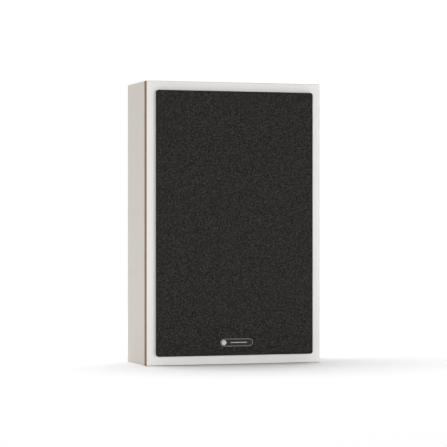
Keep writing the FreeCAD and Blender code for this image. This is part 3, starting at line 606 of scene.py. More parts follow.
# Melamine laminate pressed against a satin plate: flatter and a little whiter than the film.
WHITE_LAMINATE = Skin(
    "satin_melamine_laminate", roughness=0.4, shades=("D6D5D3", "D4D3D0"), patch_mm=60, grain=Grain.PEEL,
    grain_mm=0.6, depth_mm=0.006, spread=0.03, specular=0.4,
)
# Medium-density fibreboard, sawn and sealed: warm brown, with fine fibres lying along the edge.
BROWN_EDGE = PressedBoard("sealed_fibreboard_edge", roughness=0.62)
# The same board inside the cabinet, sanded and left bare.
BARE_BOARD = Skin(
    "sanded_fibreboard", roughness=0.8, shades=("A98A5F", "957549"), patch_mm=3, grain=Grain.FIBRE,
    grain_mm=0.5, depth_mm=0.05, spread=0.05, specular=0.25,
)
# Black film on the back board: matt, with the pebbled print that hides fingermarks.
BLACK_FILM = Skin(
    "pebbled_black_film", roughness=0.58, shades=("232325", "1C1C1E"), patch_mm=30, grain=Grain.PEBBLE,
    grain_mm=0.8, depth_mm=0.05, spread=0.06, specular=0.4,
)
# Woven polyester grille cloth in mixed charcoal yarns: matt, with a salt-and-pepper grain. The real threads
# lie 0.5 mm apart, too fine to show, so they are drawn at 1.1 mm.
CHARCOAL_CLOTH = PlainWeave(
    "woven_charcoal_polyester", roughness=0.92, shades=("191817", "2A2927", "4A4744"), thread_mm=1.1,
    slub_mm=2.1, slub=0.55, sheen=0.02, specular=0.0, depth_mm=0.12,
)
# Glass-filled ABS moulded in a spark-eroded tool: dull black with small even pebbles.
MOULDED_FRAME = Skin(
    "spark_eroded_black_abs", roughness=0.55, shades=("1A1A1B", "151516"), patch_mm=20, grain=Grain.PEBBLE,
    grain_mm=0.5, depth_mm=0.03, spread=0.05,
)
# The same plastic from a finer tool, for the drivers' trims and the terminal cup.
MOULDED_TRIM = Skin(
    "fine_moulded_black_abs", roughness=0.42, shades=("1E1F21", "19191B"), patch_mm=25, grain=Grain.PEBBLE,
    grain_mm=0.35, depth_mm=0.015, spread=0.04,
)
# Powder-coated die-cast aluminium: black, with the orange peel of fused powder.
POWDER_COAT = Skin(
    "powder_coated_die_casting", roughness=0.5, shades=("2A2B2D", "222325"), patch_mm=12, grain=Grain.PEEL,
    grain_mm=0.7, depth_mm=0.05, spread=0.08,
)
# Butyl rubber, moulded: deep soft black with a faint grey bloom.
BUTYL = Skin(
    "moulded_butyl_rubber", roughness=0.55, shades=("171718", "232324"), patch_mm=8, grain=Grain.PEEL,
    grain_mm=0.4, depth_mm=0.01, spread=0.08, sheen=0.1,
)
# Moulded rubber of the wall pads: greyer and duller.
PAD_RUBBER = Skin(
    "moulded_epdm_rubber", roughness=0.7, shades=("29292A", "353536"), patch_mm=5, grain=Grain.PEBBLE,
    grain_mm=0.5, depth_mm=0.03, spread=0.08, sheen=0.15,
)
# Closed-cell foam, cut: charcoal, with open cells on the cut faces.
CUT_FOAM = Skin(
    "cut_closed_cell_foam", roughness=0.9, shades=("2E2E30", "3A3A3C"), patch_mm=4, grain=Grain.CELL,
    grain_mm=0.6, depth_mm=0.15, spread=0.05, specular=0.2,
)
# Impregnated cloth of the tweeter's edge: dark, faintly glossy where the resin lies.
DOPED_CLOTH = Skin(
    "doped_silk_edge", roughness=0.5, shades=("1C1C1D", "28282A"), patch_mm=2, grain=Grain.FIBRE,
    grain_mm=0.3, depth_mm=0.02, spread=0.1,
)
# Resin-treated cotton of the spider: amber, and the weave stands out in the resin.
SPIDER_CLOTH = PlainWeave(
    "resin_treated_cotton", roughness=0.6, shades=("8A6428", "B08640", "CFA85C"), thread_mm=0.8, slub_mm=3.0,
    slub=0.5, layout=Layout.FACE_ON, sheen=0.0, depth_mm=0.15,
)
# Anodised aluminium, spun: pale grey metal, matt, with rings from the spinning tool.
WOOFER_CONE_METAL = TurnedMetal(
    "spun_anodised_aluminium", roughness=0.36, centre_mm=(0.0, WOOFER_Z_MM), ring_mm=0.8,
)
# The dome is drawn from thinner sheet: a little brighter, with finer rings.
DOME_METAL = TurnedMetal(
    "drawn_anodised_aluminium", roughness=0.28, shades=("C9CBCD", "B6B9BC"), centre_mm=(0.0, TWEETER_Z_MM),
    ring_mm=0.6,
)
# Satin anodised aluminium of the badge: rolled flat, a little warm.
BADGE_METAL = Skin(
    "satin_anodised_badge", roughness=0.34, metallic=1.0, shades=("7C7B78", "6E6D6A"), patch_mm=6,
    grain=Grain.FIBRE, grain_mm=0.15, depth_mm=0.004, spread=0.05,
)
# Etched aluminium of the badge's plate, anodised dark: a dull grey rim round the lacquer.
BADGE_RIM = Skin(
    "etched_dark_anodised_plate", roughness=0.5, metallic=1.0, shades=("6A6967", "5F5E5C"), patch_mm=6,
    grain=Grain.PEBBLE, grain_mm=0.12, depth_mm=0.004, spread=0.05,
)
# Black lacquer poured into the badge and rubbed down: smooth, with a low even sheen.
BADGE_LACQUER = Skin(
    "rubbed_black_lacquer", roughness=0.5, shades=("0C0C0D", "101011"), patch_mm=8, grain=Grain.PEEL,
    grain_mm=2.0, depth_mm=0.004, spread=0.03, specular=0.2,
)
# Zinc-plated steel: bluish grey, cloudy, with a soft spangle.
ZINC_PLATE = Skin(
    "zinc_plated_steel", roughness=0.36, metallic=1.0, shades=("B9BDC0", "A2A7AC"), patch_mm=5,
    grain=Grain.PEEL, grain_mm=0.5, depth_mm=0.005, spread=0.08,
)
# Black oxide on steel screws: near-black metal with an oily satin.
BLACK_OXIDE = Skin(
    "black_oxide_steel", roughness=0.42, metallic=1.0, shades=("2B2B2D", "3A3A3C"), patch_mm=2,
    grain=Grain.PEEL, grain_mm=0.3, depth_mm=0.004, spread=0.08,
)
# Nickel plate on the magnets: bright, faintly yellow.
NICKEL_PLATE = Skin(
    "nickel_plated_magnet", roughness=0.2, metallic=1.0, shades=("C9C5BC", "BDB9B0"), patch_mm=2,
    grain=Grain.PEEL, grain_mm=0.6, depth_mm=0.003, spread=0.05,
)
# Gold flash over turned brass: warm yellow with turning rings.
GOLD_FLASH = {
    colour: TurnedMetal(
        f"gold_flashed_brass_{colour}_side", roughness=0.2, shades=("E3BE68", "D2A84C"), centre_mm=centre,
        ring_mm=0.35, depth_mm=0.006,
    )
    for colour, centre in POSTS_MM.items()
}
# Turned brass without plating, on the nuts inside: duller and browner.
PLAIN_BRASS = Skin(
    "turned_brass", roughness=0.3, metallic=1.0, shades=("C9A85A", "B08E44"), patch_mm=3, grain=Grain.PEEL,
    grain_mm=0.4, depth_mm=0.004, spread=0.06,
)
# Injection-moulded acrylic knobs: clear gloss over a deep colour.
KNOB_ACRYLIC = {
    colour: Skin(
        f"moulded_{colour}_acrylic", roughness=0.2, shades=shades, patch_mm=6, grain=Grain.PEEL, grain_mm=1.5,
        depth_mm=0.004, spread=0.04, coat=0.5,
    )
    for colour, shades in (("red", ("A3181B", "92141A")), ("black", ("141415", "1B1B1C")))
}
# Sintered ferrite, ground flat: dark slate grey with a fine sparkle.
GROUND_FERRITE = Skin(
    "ground_ferrite", roughness=0.48, shades=("2C2C2F", "3A3A3E"), patch_mm=3, grain=Grain.PEBBLE,
    grain_mm=0.4, depth_mm=0.02, spread=0.1,
)
# Polyester wrap of the film capacitors: glossy amber tape.
FILM_WRAP = Skin(
    "polyester_tape_wrap", roughness=0.25, shades=("C9A23A", "B98F2C"), patch_mm=10, grain=Grain.FIBRE,
    grain_mm=0.6, depth_mm=0.02, spread=0.05, coat=0.2,
)
# Cement-filled ceramic resistor cases: chalky white.
CERAMIC_CASE = Skin(
    "cement_filled_ceramic", roughness=0.75, shades=("DAD6CC", "CDC8BC"), patch_mm=4, grain=Grain.PEBBLE,
    grain_mm=0.5, depth_mm=0.03, spread=0.06,
)
# PVC wire sleeves: soft satin black.
WIRE_SLEEVE = Skin(
    "extruded_pvc_sleeve", roughness=0.4, shades=("2A2A2C", "353537"), patch_mm=6, grain=Grain.PEEL,
    grain_mm=0.8, depth_mm=0.01, spread=0.05,
)
# Phenolic strip of the solder tags: brown, faintly mottled.
PHENOLIC = Skin(
    "punched_phenolic_strip", roughness=0.5, shades=("6A4526", "7C5430"), patch_mm=2, grain=Grain.FIBRE,
    grain_mm=0.4, depth_mm=0.02, spread=0.05,
)
# Needled polyester wadding: white and fluffy.
POLYESTER_WADDING = Skin(
    "needled_polyester_wadding", roughness=0.95, shades=("E2E0DA", "CFCDC6"), patch_mm=9, grain=Grain.FIBRE,
    grain_mm=1.2, depth_mm=0.8, spread=0.03, sheen=0.4, specular=0.15,
)
# Enamelled copper of the two inductors and both voice coils, wound in rows.
THICK_WINDING = WoundWire("enamelled_copper_rows", roughness=0.3, wire_mm=1.1, axis=1)
UPRIGHT_WINDING = WoundWire("enamelled_copper_upright_rows", roughness=0.3, wire_mm=0.8, axis=2)
COIL_WINDING = WoundWire("enamelled_coil_rows", roughness=0.3, wire_mm=0.5, axis=1)
# Glass-epoxy board under green solder mask.
GREEN_BOARD = EtchedBoard("solder_masked_glass_epoxy", roughness=0.35)
# Painted studio paper: white and quite without gloss.
STUDIO_PAPER = Skin(
    "white_studio_paper", roughness=0.95, shades=("FAFAFA", "F8F8F8"), patch_mm=400, grain=Grain.FIBRE,
    grain_mm=2.0, depth_mm=0.02, spread=0.02, specular=0.1,
)


# ---- meshes ------------------------------------------------------------------------------------------------


def piece_from(
    name: str, build: bmesh.types.BMesh, body: str | None, finish: Finish,
) -> bpy.types.Object:
    """Makes a piece of the model from a finished bmesh, and frees the bmesh.

    Args:
        name: The piece's name.
        build: The mesh, in the row frame in metres.
        body: The CAD body that it rides on, or None if it is blended across a joint later.
        finish: Its finish.

    Returns:
        The new object.
    """
    bmesh.ops.recalc_face_normals(build, faces=build.faces)
    mesh = bpy.data.meshes.new(name)
    build.to_mesh(mesh)
    build.free()
    mesh.shade_smooth()
    mesh.set_sharp_from_angle(angle=SMOOTH_BELOW)
    made = bpy.data.objects.new(name, mesh)
    bpy.context.scene.collection.objects.link(made)
    mesh.materials.append(finish.material())
    if body is not None:
        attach(made, body)
    LOG.info("built %s: %d faces", name, len(mesh.polygons))
    return made


def dress(node: str, finish: Finish) -> bpy.types.Object:
    """Gives a CAD part its finish.

    Args:
        node: The part's name.
        finish: The finish for all of it.

    Returns:
        The CAD part's object.
    """
    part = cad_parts[node]
    for place in part.material_slots:
        place.material = finish.material()
    LOG.info("dressed %s in %s", node, finish.name)
    return part


def soften(part: bpy.types.Object, width_mm: float) -> None:
    """Breaks a CAD part's sharp edges, as sanding, wrapping or moulding does.

    Args:
        part: The CAD part's object.
        width_mm: How far each edge is broken.
    """
    weld = part.modifiers.new("join_faces", "WELD")
    weld.merge_threshold = 0.002 * MM
    bevel = part.modifiers.new("broken_edges", "BEVEL")
    bevel.width = width_mm * MM
    bevel.segments = 2
    bevel.limit_method = "ANGLE"
    bevel.angle_limit = math.radians(50)
    bevel.harden_normals = False
    bevel.use_clamp_overlap = True


def turned(outline: Sequence[Point2], x: float, z: float, segments: int = 96) -> bmesh.types.BMesh:
    """Turns a closed outline about the depth axis.

    Args:
        outline: Points as (radius, depth), in millimetres.
        x: The axis's X.
        z: The axis's Z.
        segments: The number of steps round.

    Returns:
        The closed mesh.
    """
    build = bmesh.new()
    rings = []
    for step in range(segments):
        angle = 2 * math.pi * step / segments
        rings.append([
            build.verts.new(at(x + radius * math.cos(angle), depth, z + radius * math.sin(angle)))
            for radius, depth in outline
        ])
    for step, ring in enumerate(rings):
        after = rings[(step + 1) % segments]
        for place in range(len(outline)):
            follow = (place + 1) % len(outline)
            build.faces.new((ring[place], ring[follow], after[follow], after[place]))
    return build


def arc(centre: Point2, radius: float, start: float, end: float, steps: int) -> list[Point2]:
    """Points on an arc, both ends included.

    Args:
        centre: The arc's centre.
        radius: Its radius.
        start: The first angle, in degrees.
        end: The last angle, in degrees.
        steps: The number of steps between them.

    Returns:
        The points.
    """
    angles = [math.radians(start + (end - start) * k / steps) for k in range(steps + 1)]
    return [(centre[0] + radius * math.cos(a), centre[1] + radius * math.sin(a)) for a in angles]


def flex(piece: bpy.types.Object, moving: str, inner_mm: float, outer_mm: float, x: float, z: float) -> None:
    """Lets a ring flex between the cabinet at its outside and a moving body at its inside.

    Args:
        piece: The ring.
        moving: The body at its inside.
        inner_mm: The radius within which it follows that body.
        outer_mm: The radius beyond which it stays with the cabinet.
        x: The ring's centre.
        z: The ring's centre.
    """
    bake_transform(piece, "cabinet", moving, start=at(x + outer_mm, 0, z), end=at(x + inner_mm, 0, z))
    weights = piece.data.attributes["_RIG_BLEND"].data
    for vertex, weight in zip(piece.data.vertices, weights):
        radius = math.hypot(vertex.co.x / MM - x, vertex.co.z / MM - z)
        share = min(max((outer_mm - radius) / (outer_mm - inner_mm), 0.0), 1.0)
        weight.value = share * share * (3 - 2 * share)


# ---- the cabinet -------------------------------------------------------------------------------------------


@dataclass
class Cabinet:
    """The box: film-wrapped panels, the board whose edge shows, the white front, and the back's fittings.

    Attributes:
        broken_edge_mm: How far the panels' edges are broken.
        pad_mm: The wadding's thickness.
        pad_puff_mm: How far the wadding's surface rises and falls.
        pad_lump_mm: The size of its lumps.
    """

    broken_edge_mm: float = 0.25
    pad_mm: float = 14.0
    pad_puff_mm: float = 1.6
    pad_lump_mm: float = 12.0

    def build(self) -> None:
        """Dresses every board, then the fittings, and makes the wadding."""
        for node in ("left_side_panel", "right_side_panel", "top_panel", "bottom_panel"):
            soften(dress(node, WHITE_FILM), self.broken_edge_mm)
        soften(dress("front_laminate", WHITE_LAMINATE), self.broken_edge_mm)
        soften(dress("edge_board", BROWN_EDGE), self.broken_edge_mm)
        dress("back_panel", BLACK_FILM)
        dress("inner_baffle", BARE_BOARD)
        dress("cabinet_brace", BARE_BOARD)
        dress("wall_bumpers", PAD_RUBBER)
        dress("keyhole_plates", ZINC_PLATE)
        dress("rear_screws", BLACK_OXIDE)
        dress("baffle_magnets", NICKEL_PLATE)
        self.wadding()

    def wadding(self) -> None:
        """Two soft pads against the side panels, in the space that their solids hold."""
        low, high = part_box("damping_pads")
        inner = high.x / MM - self.pad_mm
        for name, start, end in (("left", low.x / MM, -inner), ("right", inner, high.x / MM)):
            corner = Vector((start * MM, low.y, low.z))
            size = Vector(((end - start) * MM, high.y - low.y, high.z - low.z))
            build = self.soft_block(corner, size, (4, 10, 60))
            pad = piece_from(f"{name}_wadding", build, "cabinet", POLYESTER_WADDING)
            if name == "left":
                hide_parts("damping_pads")

    def soft_block(self, corner: Vector, size: Vector, steps: tuple[int, int, int]) -> bmesh.types.BMesh:
        """A block with round edges and an uneven surface, which stays inside its box.

        Args:
            corner: Its lowest corner.
            size: Its size.
            steps: The number of faces along X, Y and Z.

        Returns:
            The closed mesh.
        """
        # How much each axis narrows towards the block's edges, and how much of the ripple its ends get.
        rounding = (0.22, 0.22, 0.077)
        end_share = 0.3
        build = bmesh.new()
        bmesh.ops.create_cube(build, size=1.0)
        for axis, count in enumerate(steps):
            across = [
                edge for edge in build.edges
                if abs((edge.verts[0].co - edge.verts[1].co).normalized()[axis]) > 0.99
            ]
            bmesh.ops.subdivide_edges(build, edges=across, cuts=count - 1, use_grid_fill=True)
        for vertex in build.verts:
            unit = vertex.co * 2
            shrink = Vector([1.0, 1.0, 1.0])
            for axis, share in enumerate(rounding):
                others = [abs(unit[k]) for k in range(3) if k != axis]
                shrink[axis] = 1 - share * max(others) ** 8 * abs(unit[axis])
            placed = Vector([(unit[k] * shrink[k] + 1) / 2 * size[k] + corner[k] for k in range(3)])
            ripple = 0.5 - noise.noise(placed / (self.pad_lump_mm * MM)) * 0.5
            inward = -unit.normalized() * self.pad_puff_mm * MM * ripple
            vertex.co = placed + Vector([inward.x, inward.y, inward.z * end_share])
        return build


# ---- the grille --------------------------------------------------------------------------------------------


@dataclass
class Sheet:
    """The cloth: one cut, stretched over the frame, down its sloped edge and side, and glued behind.

    Attributes:
        proud_mm: How far its front stands before the cabinet's.
        corner_mm: The outline's corner radius.
        slope_mm: The width and drop of the slope round its front.
        roll_mm: The radius that the cloth turns at between the slope and the side.
        ease_mm: How far inside the slope's top the cloth starts to bend.
        dip_mm: How far it has dropped at the slope's top.
        hem_mm: The strip glued to the frame's back.
        hem_depth_mm: The hem's depth.
        step_mm: The size of the mesh's faces.
        thick_mm: The cloth's thickness at the hem.
    """

    FLAT_MAP = "flat_cut"

    proud_mm: float = 8.5
    corner_mm: float = 3.0
    slope_mm: Point2 = (6.5, 1.5)
    roll_mm: float = 0.9
    ease_mm: float = 0.7
    dip_mm: float = 0.05
    hem_mm: float = 6.0
    hem_depth_mm: float = -0.06
    step_mm: float = 4.0
    thick_mm: float = 0.12

    def section(self) -> list[tuple[float, float, float]]:
        """The cloth's path from the flat front to the end of the hem.

        Returns:
            For each point, how far inside the outline it lies, its depth, and the cloth's length so far.
        """
        width, drop = self.slope_mm
        roll = self.roll_mm
        lean = math.degrees(math.atan2(drop, width))
        edge = drop - self.proud_mm + roll * math.cos(math.radians(lean))
        path = [(width + self.ease_mm, -self.proud_mm), (width, self.dip_mm - self.proud_mm)]
        path += [(width * share, drop * (1 - share) - self.proud_mm) for share in (0.85, 0.6, 0.35)]
        path += arc((roll, edge), roll, 270 - lean, 180, 6)
        path += [(0.0, -3.9), (0.0, -1.9), (0.0, -0.45), (0.12, -0.16), (0.4, self.hem_depth_mm)]
        path += [(self.hem_mm * share, self.hem_depth_mm) for share in (0.4, 0.7, 1.0)]
        lengths = [0.0]
        for (x0, y0), (x1, y1) in zip(path, path[1:]):
            lengths.append(lengths[-1] + math.hypot(x1 - x0, y1 - y0))
        return [(inset, depth, length) for (inset, depth), length in zip(path, lengths)]

    def outline(self, inset: float, half: Point2, counts: tuple[int, int]) -> list[Point4]:
        """A rounded rectangle, with the same number of points for any inset.

        Args:
            inset: How far it lies inside the outer one.
            half: Half the outer one's width and height.
            counts: The number of steps along its short and long sides.

        Returns:
            Each point's X and Z from the centre, and the outward direction there.
        """
        radius = max(self.corner_mm - inset, 0.0)
        reach = (half[0] - inset - radius, half[1] - inset - radius)
        corners = []
        for number, (sx, sz) in enumerate(((1, 1), (-1, 1), (-1, -1), (1, -1))):
            corner = []
            for angle in range(90 * number, 90 * number + 91, 15):
                nx = math.cos(math.radians(angle))
                nz = math.sin(math.radians(angle))
                corner.append((sx * reach[0] + radius * nx, sz * reach[1] + radius * nz, nx, nz))
            corners.append(corner)
        points = []
        for number, corner in enumerate(corners):
            points += corner
            start, end = corner[-1], corners[(number + 1) % 4][0]
            steps = counts[number % 2]
            for k in range(1, steps):
                x = start[0] + (end[0] - start[0]) * k / steps
                z = start[1] + (end[1] - start[1]) * k / steps
                points.append((x, z, start[2], start[3]))
        return points

    def build(self) -> bpy.types.Object:
        """Returns:
            The cloth.
        """
        low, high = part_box("grille_cloth")
        half = ((high.x - low.x) / 2 / MM, (high.z - low.z) / 2 / MM)
        middle = (high.z + low.z) / 2 / MM
        path = self.section()
        begin = path[0][0]
        flat = (half[0] - begin, half[1] - begin)
        counts = (round(2 * flat[0] / self.step_mm), round(2 * flat[1] / self.step_mm))
        build = bmesh.new()
        cuts = build.verts.layers.float_vector.new("cut")
        rings = []
        for inset, depth, length in path:
            ring = []
            for x, z, nx, nz in self.outline(inset, half, counts):
                extra = length - (begin - inset)
                vertex = build.verts.new(at(x, depth, middle + z))
                vertex[cuts] = Vector((x + nx * extra, z + nz * extra, 0.0)) * MM
                ring.append(vertex)
            rings.append(ring)
        for inner, outer in zip(rings, rings[1:]):
            for k, vertex in enumerate(inner):
                after = (k + 1) % len(inner)
                corners = (vertex, inner[after], outer[after], outer[k])
                build.faces.new(corners)
        grid = []
        for row in range(counts[1] + 1):
            line = []
            for column in range(counts[0] + 1):
                x = flat[0] * (2 * column / counts[0] - 1)
                z = flat[1] * (2 * row / counts[1] - 1)
                vertex = build.verts.new(at(x, -self.proud_mm, middle + z))
                vertex[cuts] = Vector((x, z, 0.0)) * MM
                line.append(vertex)
            grid.append(line)
        for row in range(counts[1]):
            for column in range(counts[0]):
                below = grid[row][column:column + 2]
                above = grid[row + 1][column:column + 2]
                build.faces.new((*below, *reversed(above)))
        bmesh.ops.remove_doubles(build, verts=build.verts, dist=0.001 * MM)
        bmesh.ops.dissolve_degenerate(build, edges=build.edges, dist=0.001 * MM)
        chart = build.loops.layers.uv.new(self.FLAT_MAP)
        for face in build.faces:
            for loop in face.loops:
                loop[chart].uv = loop.vert[cuts].xy
        build.verts.layers.float_vector.remove(cuts)
        cloth = piece_from("grille_cloth_sheet", build, "grille", CHARCOAL_CLOTH)
        thickness = cloth.modifiers.new("thickness", "SOLIDIFY")
        thickness.thickness = self.thick_mm * MM
        thickness.offset = -1.0
        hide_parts("grille_cloth")
        return cloth


@dataclass
class Badge:
    """A plain pill-shaped plate: a metal rim round black lacquer, with a plain disc and a bar of satin metal.

    Attributes:
        rim_mm: The rim's width.
        disc_mm: The disc's diameter. It lies in the middle of the plate's left end.
        bar_mm: The bar's length and height.
        bar_right_mm: How far to the right of the plate's middle the bar lies.
        recess_mm: The depth of the recess within the rim, which the disc and the bar fill.
        lacquer_mm: The lacquer's thickness.
        hair_mm: The hairline between lacquer and rim, and how far the disc's round ends lie off its middle.
        lacquer_crown_mm: How far the lacquer's edge is rounded.
        mark_crown_mm: How far the disc's and the bar's edges are broken.
        segments: The steps round each end.
    """

    rim_mm: float = 0.35
    disc_mm: float = 6.4
    bar_mm: Point2 = (21.0, 0.9)
    bar_right_mm: float = 2.6
    recess_mm: float = 0.3
    lacquer_mm: float = 0.08
    hair_mm: float = 0.02
    lacquer_crown_mm: float = 0.05
    mark_crown_mm: float = 0.12
    segments: int = 12

    def pill(self, half: Point2, depths: Point2, crown: float, right: float = 0.0) -> bmesh.types.BMesh:
        """A flat pill with a broken front edge.

        Args:
            half: Half its length and half its height.
            depths: The depths of its back and its front.
            crown: How far the front edge is broken.
            right: How far to the right of the plate's middle it lies.

        Returns:
            The closed mesh.
        """
        low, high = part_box("badge_plate")
        middle = (low.z + high.z) / 2 / MM
        half_x, half_z = half
        back, front = depths
        build = bmesh.new()
        rings = []
        for shrink, depth in ((0.0, back), (0.0, front + crown), (crown, front)):
            ends = []
            for sign, start in ((1, -90), (-1, 90)):
                centre = (right + sign * (half_x - half_z), middle)
                ends += arc(centre, half_z - shrink, start, start + 180, self.segments)
            rings.append([build.verts.new(at(x, depth, z)) for x, z in ends])
        for inner, outer in zip(rings, rings[1:]):
            for k, vertex in enumerate(inner):
                after = (k + 1) % len(inner)
                build.faces.new((vertex, inner[after], outer[after], outer[k]))
        build.faces.new(rings[0])
        build.faces.new(list(reversed(rings[-1])))
        return build

    def build(self) -> None:
        """Dresses the plate, and adds the lacquer, the disc and the bar."""
        dress("badge_plate", BADGE_RIM)
        low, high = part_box("badge_plate")
        half_x = (high.x - low.x) / 2 / MM - self.rim_mm
        half_z = (high.z - low.z) / 2 / MM - self.rim_mm
        floor = (low.y - FRONT_Y) / MM + self.recess_mm
        top = floor - self.lacquer_mm
        filled = (half_x - self.hair_mm, half_z - self.hair_mm)
        lacquer = self.pill(filled, (floor, top), self.lacquer_crown_mm)
        piece_from("badge_lacquer", lacquer, "grille", BADGE_LACQUER)
        radius = self.disc_mm / 2
        for name, half, right in (
            # The disc is a hair longer than it is high, so that its two round ends share no point.
            ("badge_disc", (radius + self.hair_mm, radius), half_z - half_x),
            ("badge_bar", (self.bar_mm[0] / 2, self.bar_mm[1] / 2), self.bar_right_mm),
        ):
            mark = self.pill(half, (top, floor - self.recess_mm), self.mark_crown_mm, right)
            piece_from(name, mark, "grille", BADGE_METAL)


@dataclass
class Grille:
    """The grille that pulls off: moulded frame, cloth, magnets and badge.

    Attributes:
        sheet: The cloth.
        badge: The badge low on the cloth.
        frame_edge_mm: How far the frame's moulded edges are rounded.
    """

    sheet: Sheet
    badge: Badge
    frame_edge_mm: float = 0.3

    def build(self) -> None:
        """Dresses the frame and magnets, then stretches the cloth and fixes the badge."""
        soften(dress("grille_frame", MOULDED_FRAME), self.frame_edge_mm)
        dress("grille_magnets", NICKEL_PLATE)
        self.sheet.build()
        self.badge.build()


# ---- the drivers -------------------------------------------------------------------------------------------


@dataclass
class Woofer:
    """The large driver: cast basket, metal cone on a rubber roll, and the motor behind it.

    Attributes:
        z_mm: The height of its centre.
        roll_mm: The radius at the middle of the rubber roll.
        outer_mm: The roll's outer radius in section.
        inner_mm: The roll's inner radius in section.
        lands_mm: The radii where the rubber's flat inner and outer lands end.
        land_mm: The lands' thickness.
        ledge_mm: The depth of the ledge that the rubber is glued to.
        roll_flex_mm: The radii between which the rubber flexes.
        spider_mm: The depth of the spider's front.
        spider_rings_mm: The radii of the spider's bore, first ridge, last ridge and rim.
        ridge_mm: From one of its ridges to the next, and a ridge's height.
        spider_thick_mm: Its thickness.
        spider_flex_mm: The radii between which it flexes.
        spider_steps: The number of steps across its ridges.
    """

    z_mm: float = WOOFER_Z_MM
    roll_mm: float = 66.75
    outer_mm: float = 5.15
    inner_mm: float = 4.35
    lands_mm: Point2 = (57.5, 76.3)
    land_mm: float = 0.8
    ledge_mm: float = 3.5
    roll_flex_mm: Point2 = (61.4, 72.0)
    spider_mm: float = 25.2
    spider_rings_mm: Point4 = (13.15, 16.0, 46.0, 52.5)
    ridge_mm: Point2 = (6.0, 1.4)
    spider_thick_mm: float = 0.5
    spider_flex_mm: Point2 = (15.0, 45.0)
    spider_steps: int = 96

    def build(self) -> None:
        """Dresses the metal parts, and makes the two that flex."""
        for node, finish in (
            ("woofer_basket", POWDER_COAT), ("woofer_trim_ring", MOULDED_TRIM), ("woofer_gasket", CUT_FOAM),
            ("woofer_cone", WOOFER_CONE_METAL), ("woofer_dust_cap", WOOFER_CONE_METAL),
            ("woofer_voice_coil", COIL_WINDING), ("woofer_top_plate", ZINC_PLATE),
            ("woofer_magnet", GROUND_FERRITE), ("woofer_yoke", ZINC_PLATE),
            ("woofer_tags", PHENOLIC), ("woofer_screws", BLACK_OXIDE),
        ):
            dress(node, finish)
        self.surround()
        self.spider()

    def surround(self) -> None:
        """The rubber half roll between the basket and the cone."""
        ledge = self.ledge_mm
        front = ledge - self.land_mm
        centre = (self.roll_mm, ledge)
        foot, lip = self.lands_mm
        over = math.degrees(math.asin((ledge - front) / self.outer_mm))
        outline = [(foot, ledge), (foot, front)]
        outline += arc(centre, self.outer_mm, 180 + over, 360 - over, 16)
        outline += [(lip, front), (lip, ledge)]
        outline += arc(centre, self.inner_mm, 360, 180, 14)
        build = turned(outline, 0.0, self.z_mm)
        roll = piece_from("woofer_surround_roll", build, None, BUTYL)
        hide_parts("woofer_surround")
        flex(roll, "woofer_cone", *self.roll_flex_mm, 0.0, self.z_mm)

    def spider(self) -> None:
        """The corrugated cloth disc that centres the voice coil."""
        bore, first, last, rim = self.spider_rings_mm
        pitch, height = self.ridge_mm
        front = []
        for step in range(self.spider_steps + 1):
            radius = bore + (last - bore) * step / self.spider_steps
            wave = math.sin(2 * math.pi * (radius - first) / pitch) * height if radius > first else 0.0
            front.append((radius, self.spider_mm - wave))
        front.append((rim, self.spider_mm))
        back = [(radius, depth + self.spider_thick_mm) for radius, depth in reversed(front)]
        build = turned(front + back, 0.0, self.z_mm)
        disc = piece_from("woofer_spider_disc", build, None, SPIDER_CLOTH)
        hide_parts("woofer_spider")
        flex(disc, "woofer_cone", *self.spider_flex_mm, 0.0, self.z_mm)


@dataclass
class Tweeter:
    """The small driver: moulded faceplate, mesh guard, metal dome on a soft edge, and its motor.

    Attributes:
        z_mm: The height of its centre.
        base_mm: The depth of the dome's foot.
        rings_mm: The radii of the dome's foot, the end of the soft roll and the rim of its land.
        rise_mm: The soft roll's height.
        thick_mm: The cloth's thickness.
        flex_mm: The radii between which it flexes.
        steps: The number of steps across the roll.
    """

    z_mm: float = TWEETER_Z_MM
    base_mm: float = 8.5
    rings_mm: tuple[float, float, float] = (12.7, 16.2, 19.0)
    rise_mm: float = 1.6
    thick_mm: float = 0.3
    flex_mm: Point2 = (12.9, 16.2)
    steps: int = 10

    def build(self) -> None:
        """Dresses the parts, and makes the soft edge."""
        for node, finish in (
            ("tweeter_faceplate", MOULDED_TRIM), ("tweeter_guard", BLACK_OXIDE), ("tweeter_gasket", CUT_FOAM),
            ("tweeter_dome", DOME_METAL), ("tweeter_voice_coil", COIL_WINDING),
            ("tweeter_top_plate", ZINC_PLATE), ("tweeter_magnet", GROUND_FERRITE),
            ("tweeter_yoke", ZINC_PLATE), ("tweeter_tags", PHENOLIC), ("tweeter_screws", BLACK_OXIDE),
        ):
            dress(node, finish)
        self.soft_edge()

    def soft_edge(self) -> None:
        """The treated cloth roll between the dome and the faceplate."""
        foot, end, rim = self.rings_mm
        top = []
        for step in range(self.steps):
            share = step / self.steps
            top.append((foot + (end - foot) * share, self.base_mm - self.rise_mm * math.sin(math.pi * share)))
        top += [(end, self.base_mm), (rim, self.base_mm)]
        under = [(radius, depth + self.thick_mm) for radius, depth in reversed(top)]
        build = turned(top + under, 0.0, self.z_mm)
        edge = piece_from("tweeter_surround_roll", build, None, DOPED_CLOTH)
        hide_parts("tweeter_surround")
        flex(edge, "tweeter_dome", *self.flex_mm, 0.0, self.z_mm)


# ---- the back and the inside -------------------------------------------------------------------------------


@dataclass
class Terminals:
    """The moulded cup and its two binding posts.

    Attributes:
        colours: The names of the two posts.
    """

    colours: tuple[str, ...] = tuple(POSTS_MM)

    def build(self) -> None:
        """Dresses the cup, then each post, insert and knob."""
        dress("terminal_cup", MOULDED_TRIM)
        dress("terminal_gasket", CUT_FOAM)
        dress("post_nuts", PLAIN_BRASS)
        for colour in self.colours:
            dress(f"{colour}_post", GOLD_FLASH[colour])
            dress(f"{colour}_nut", GOLD_FLASH[colour])
            dress(f"{colour}_cap", KNOB_ACRYLIC[colour])


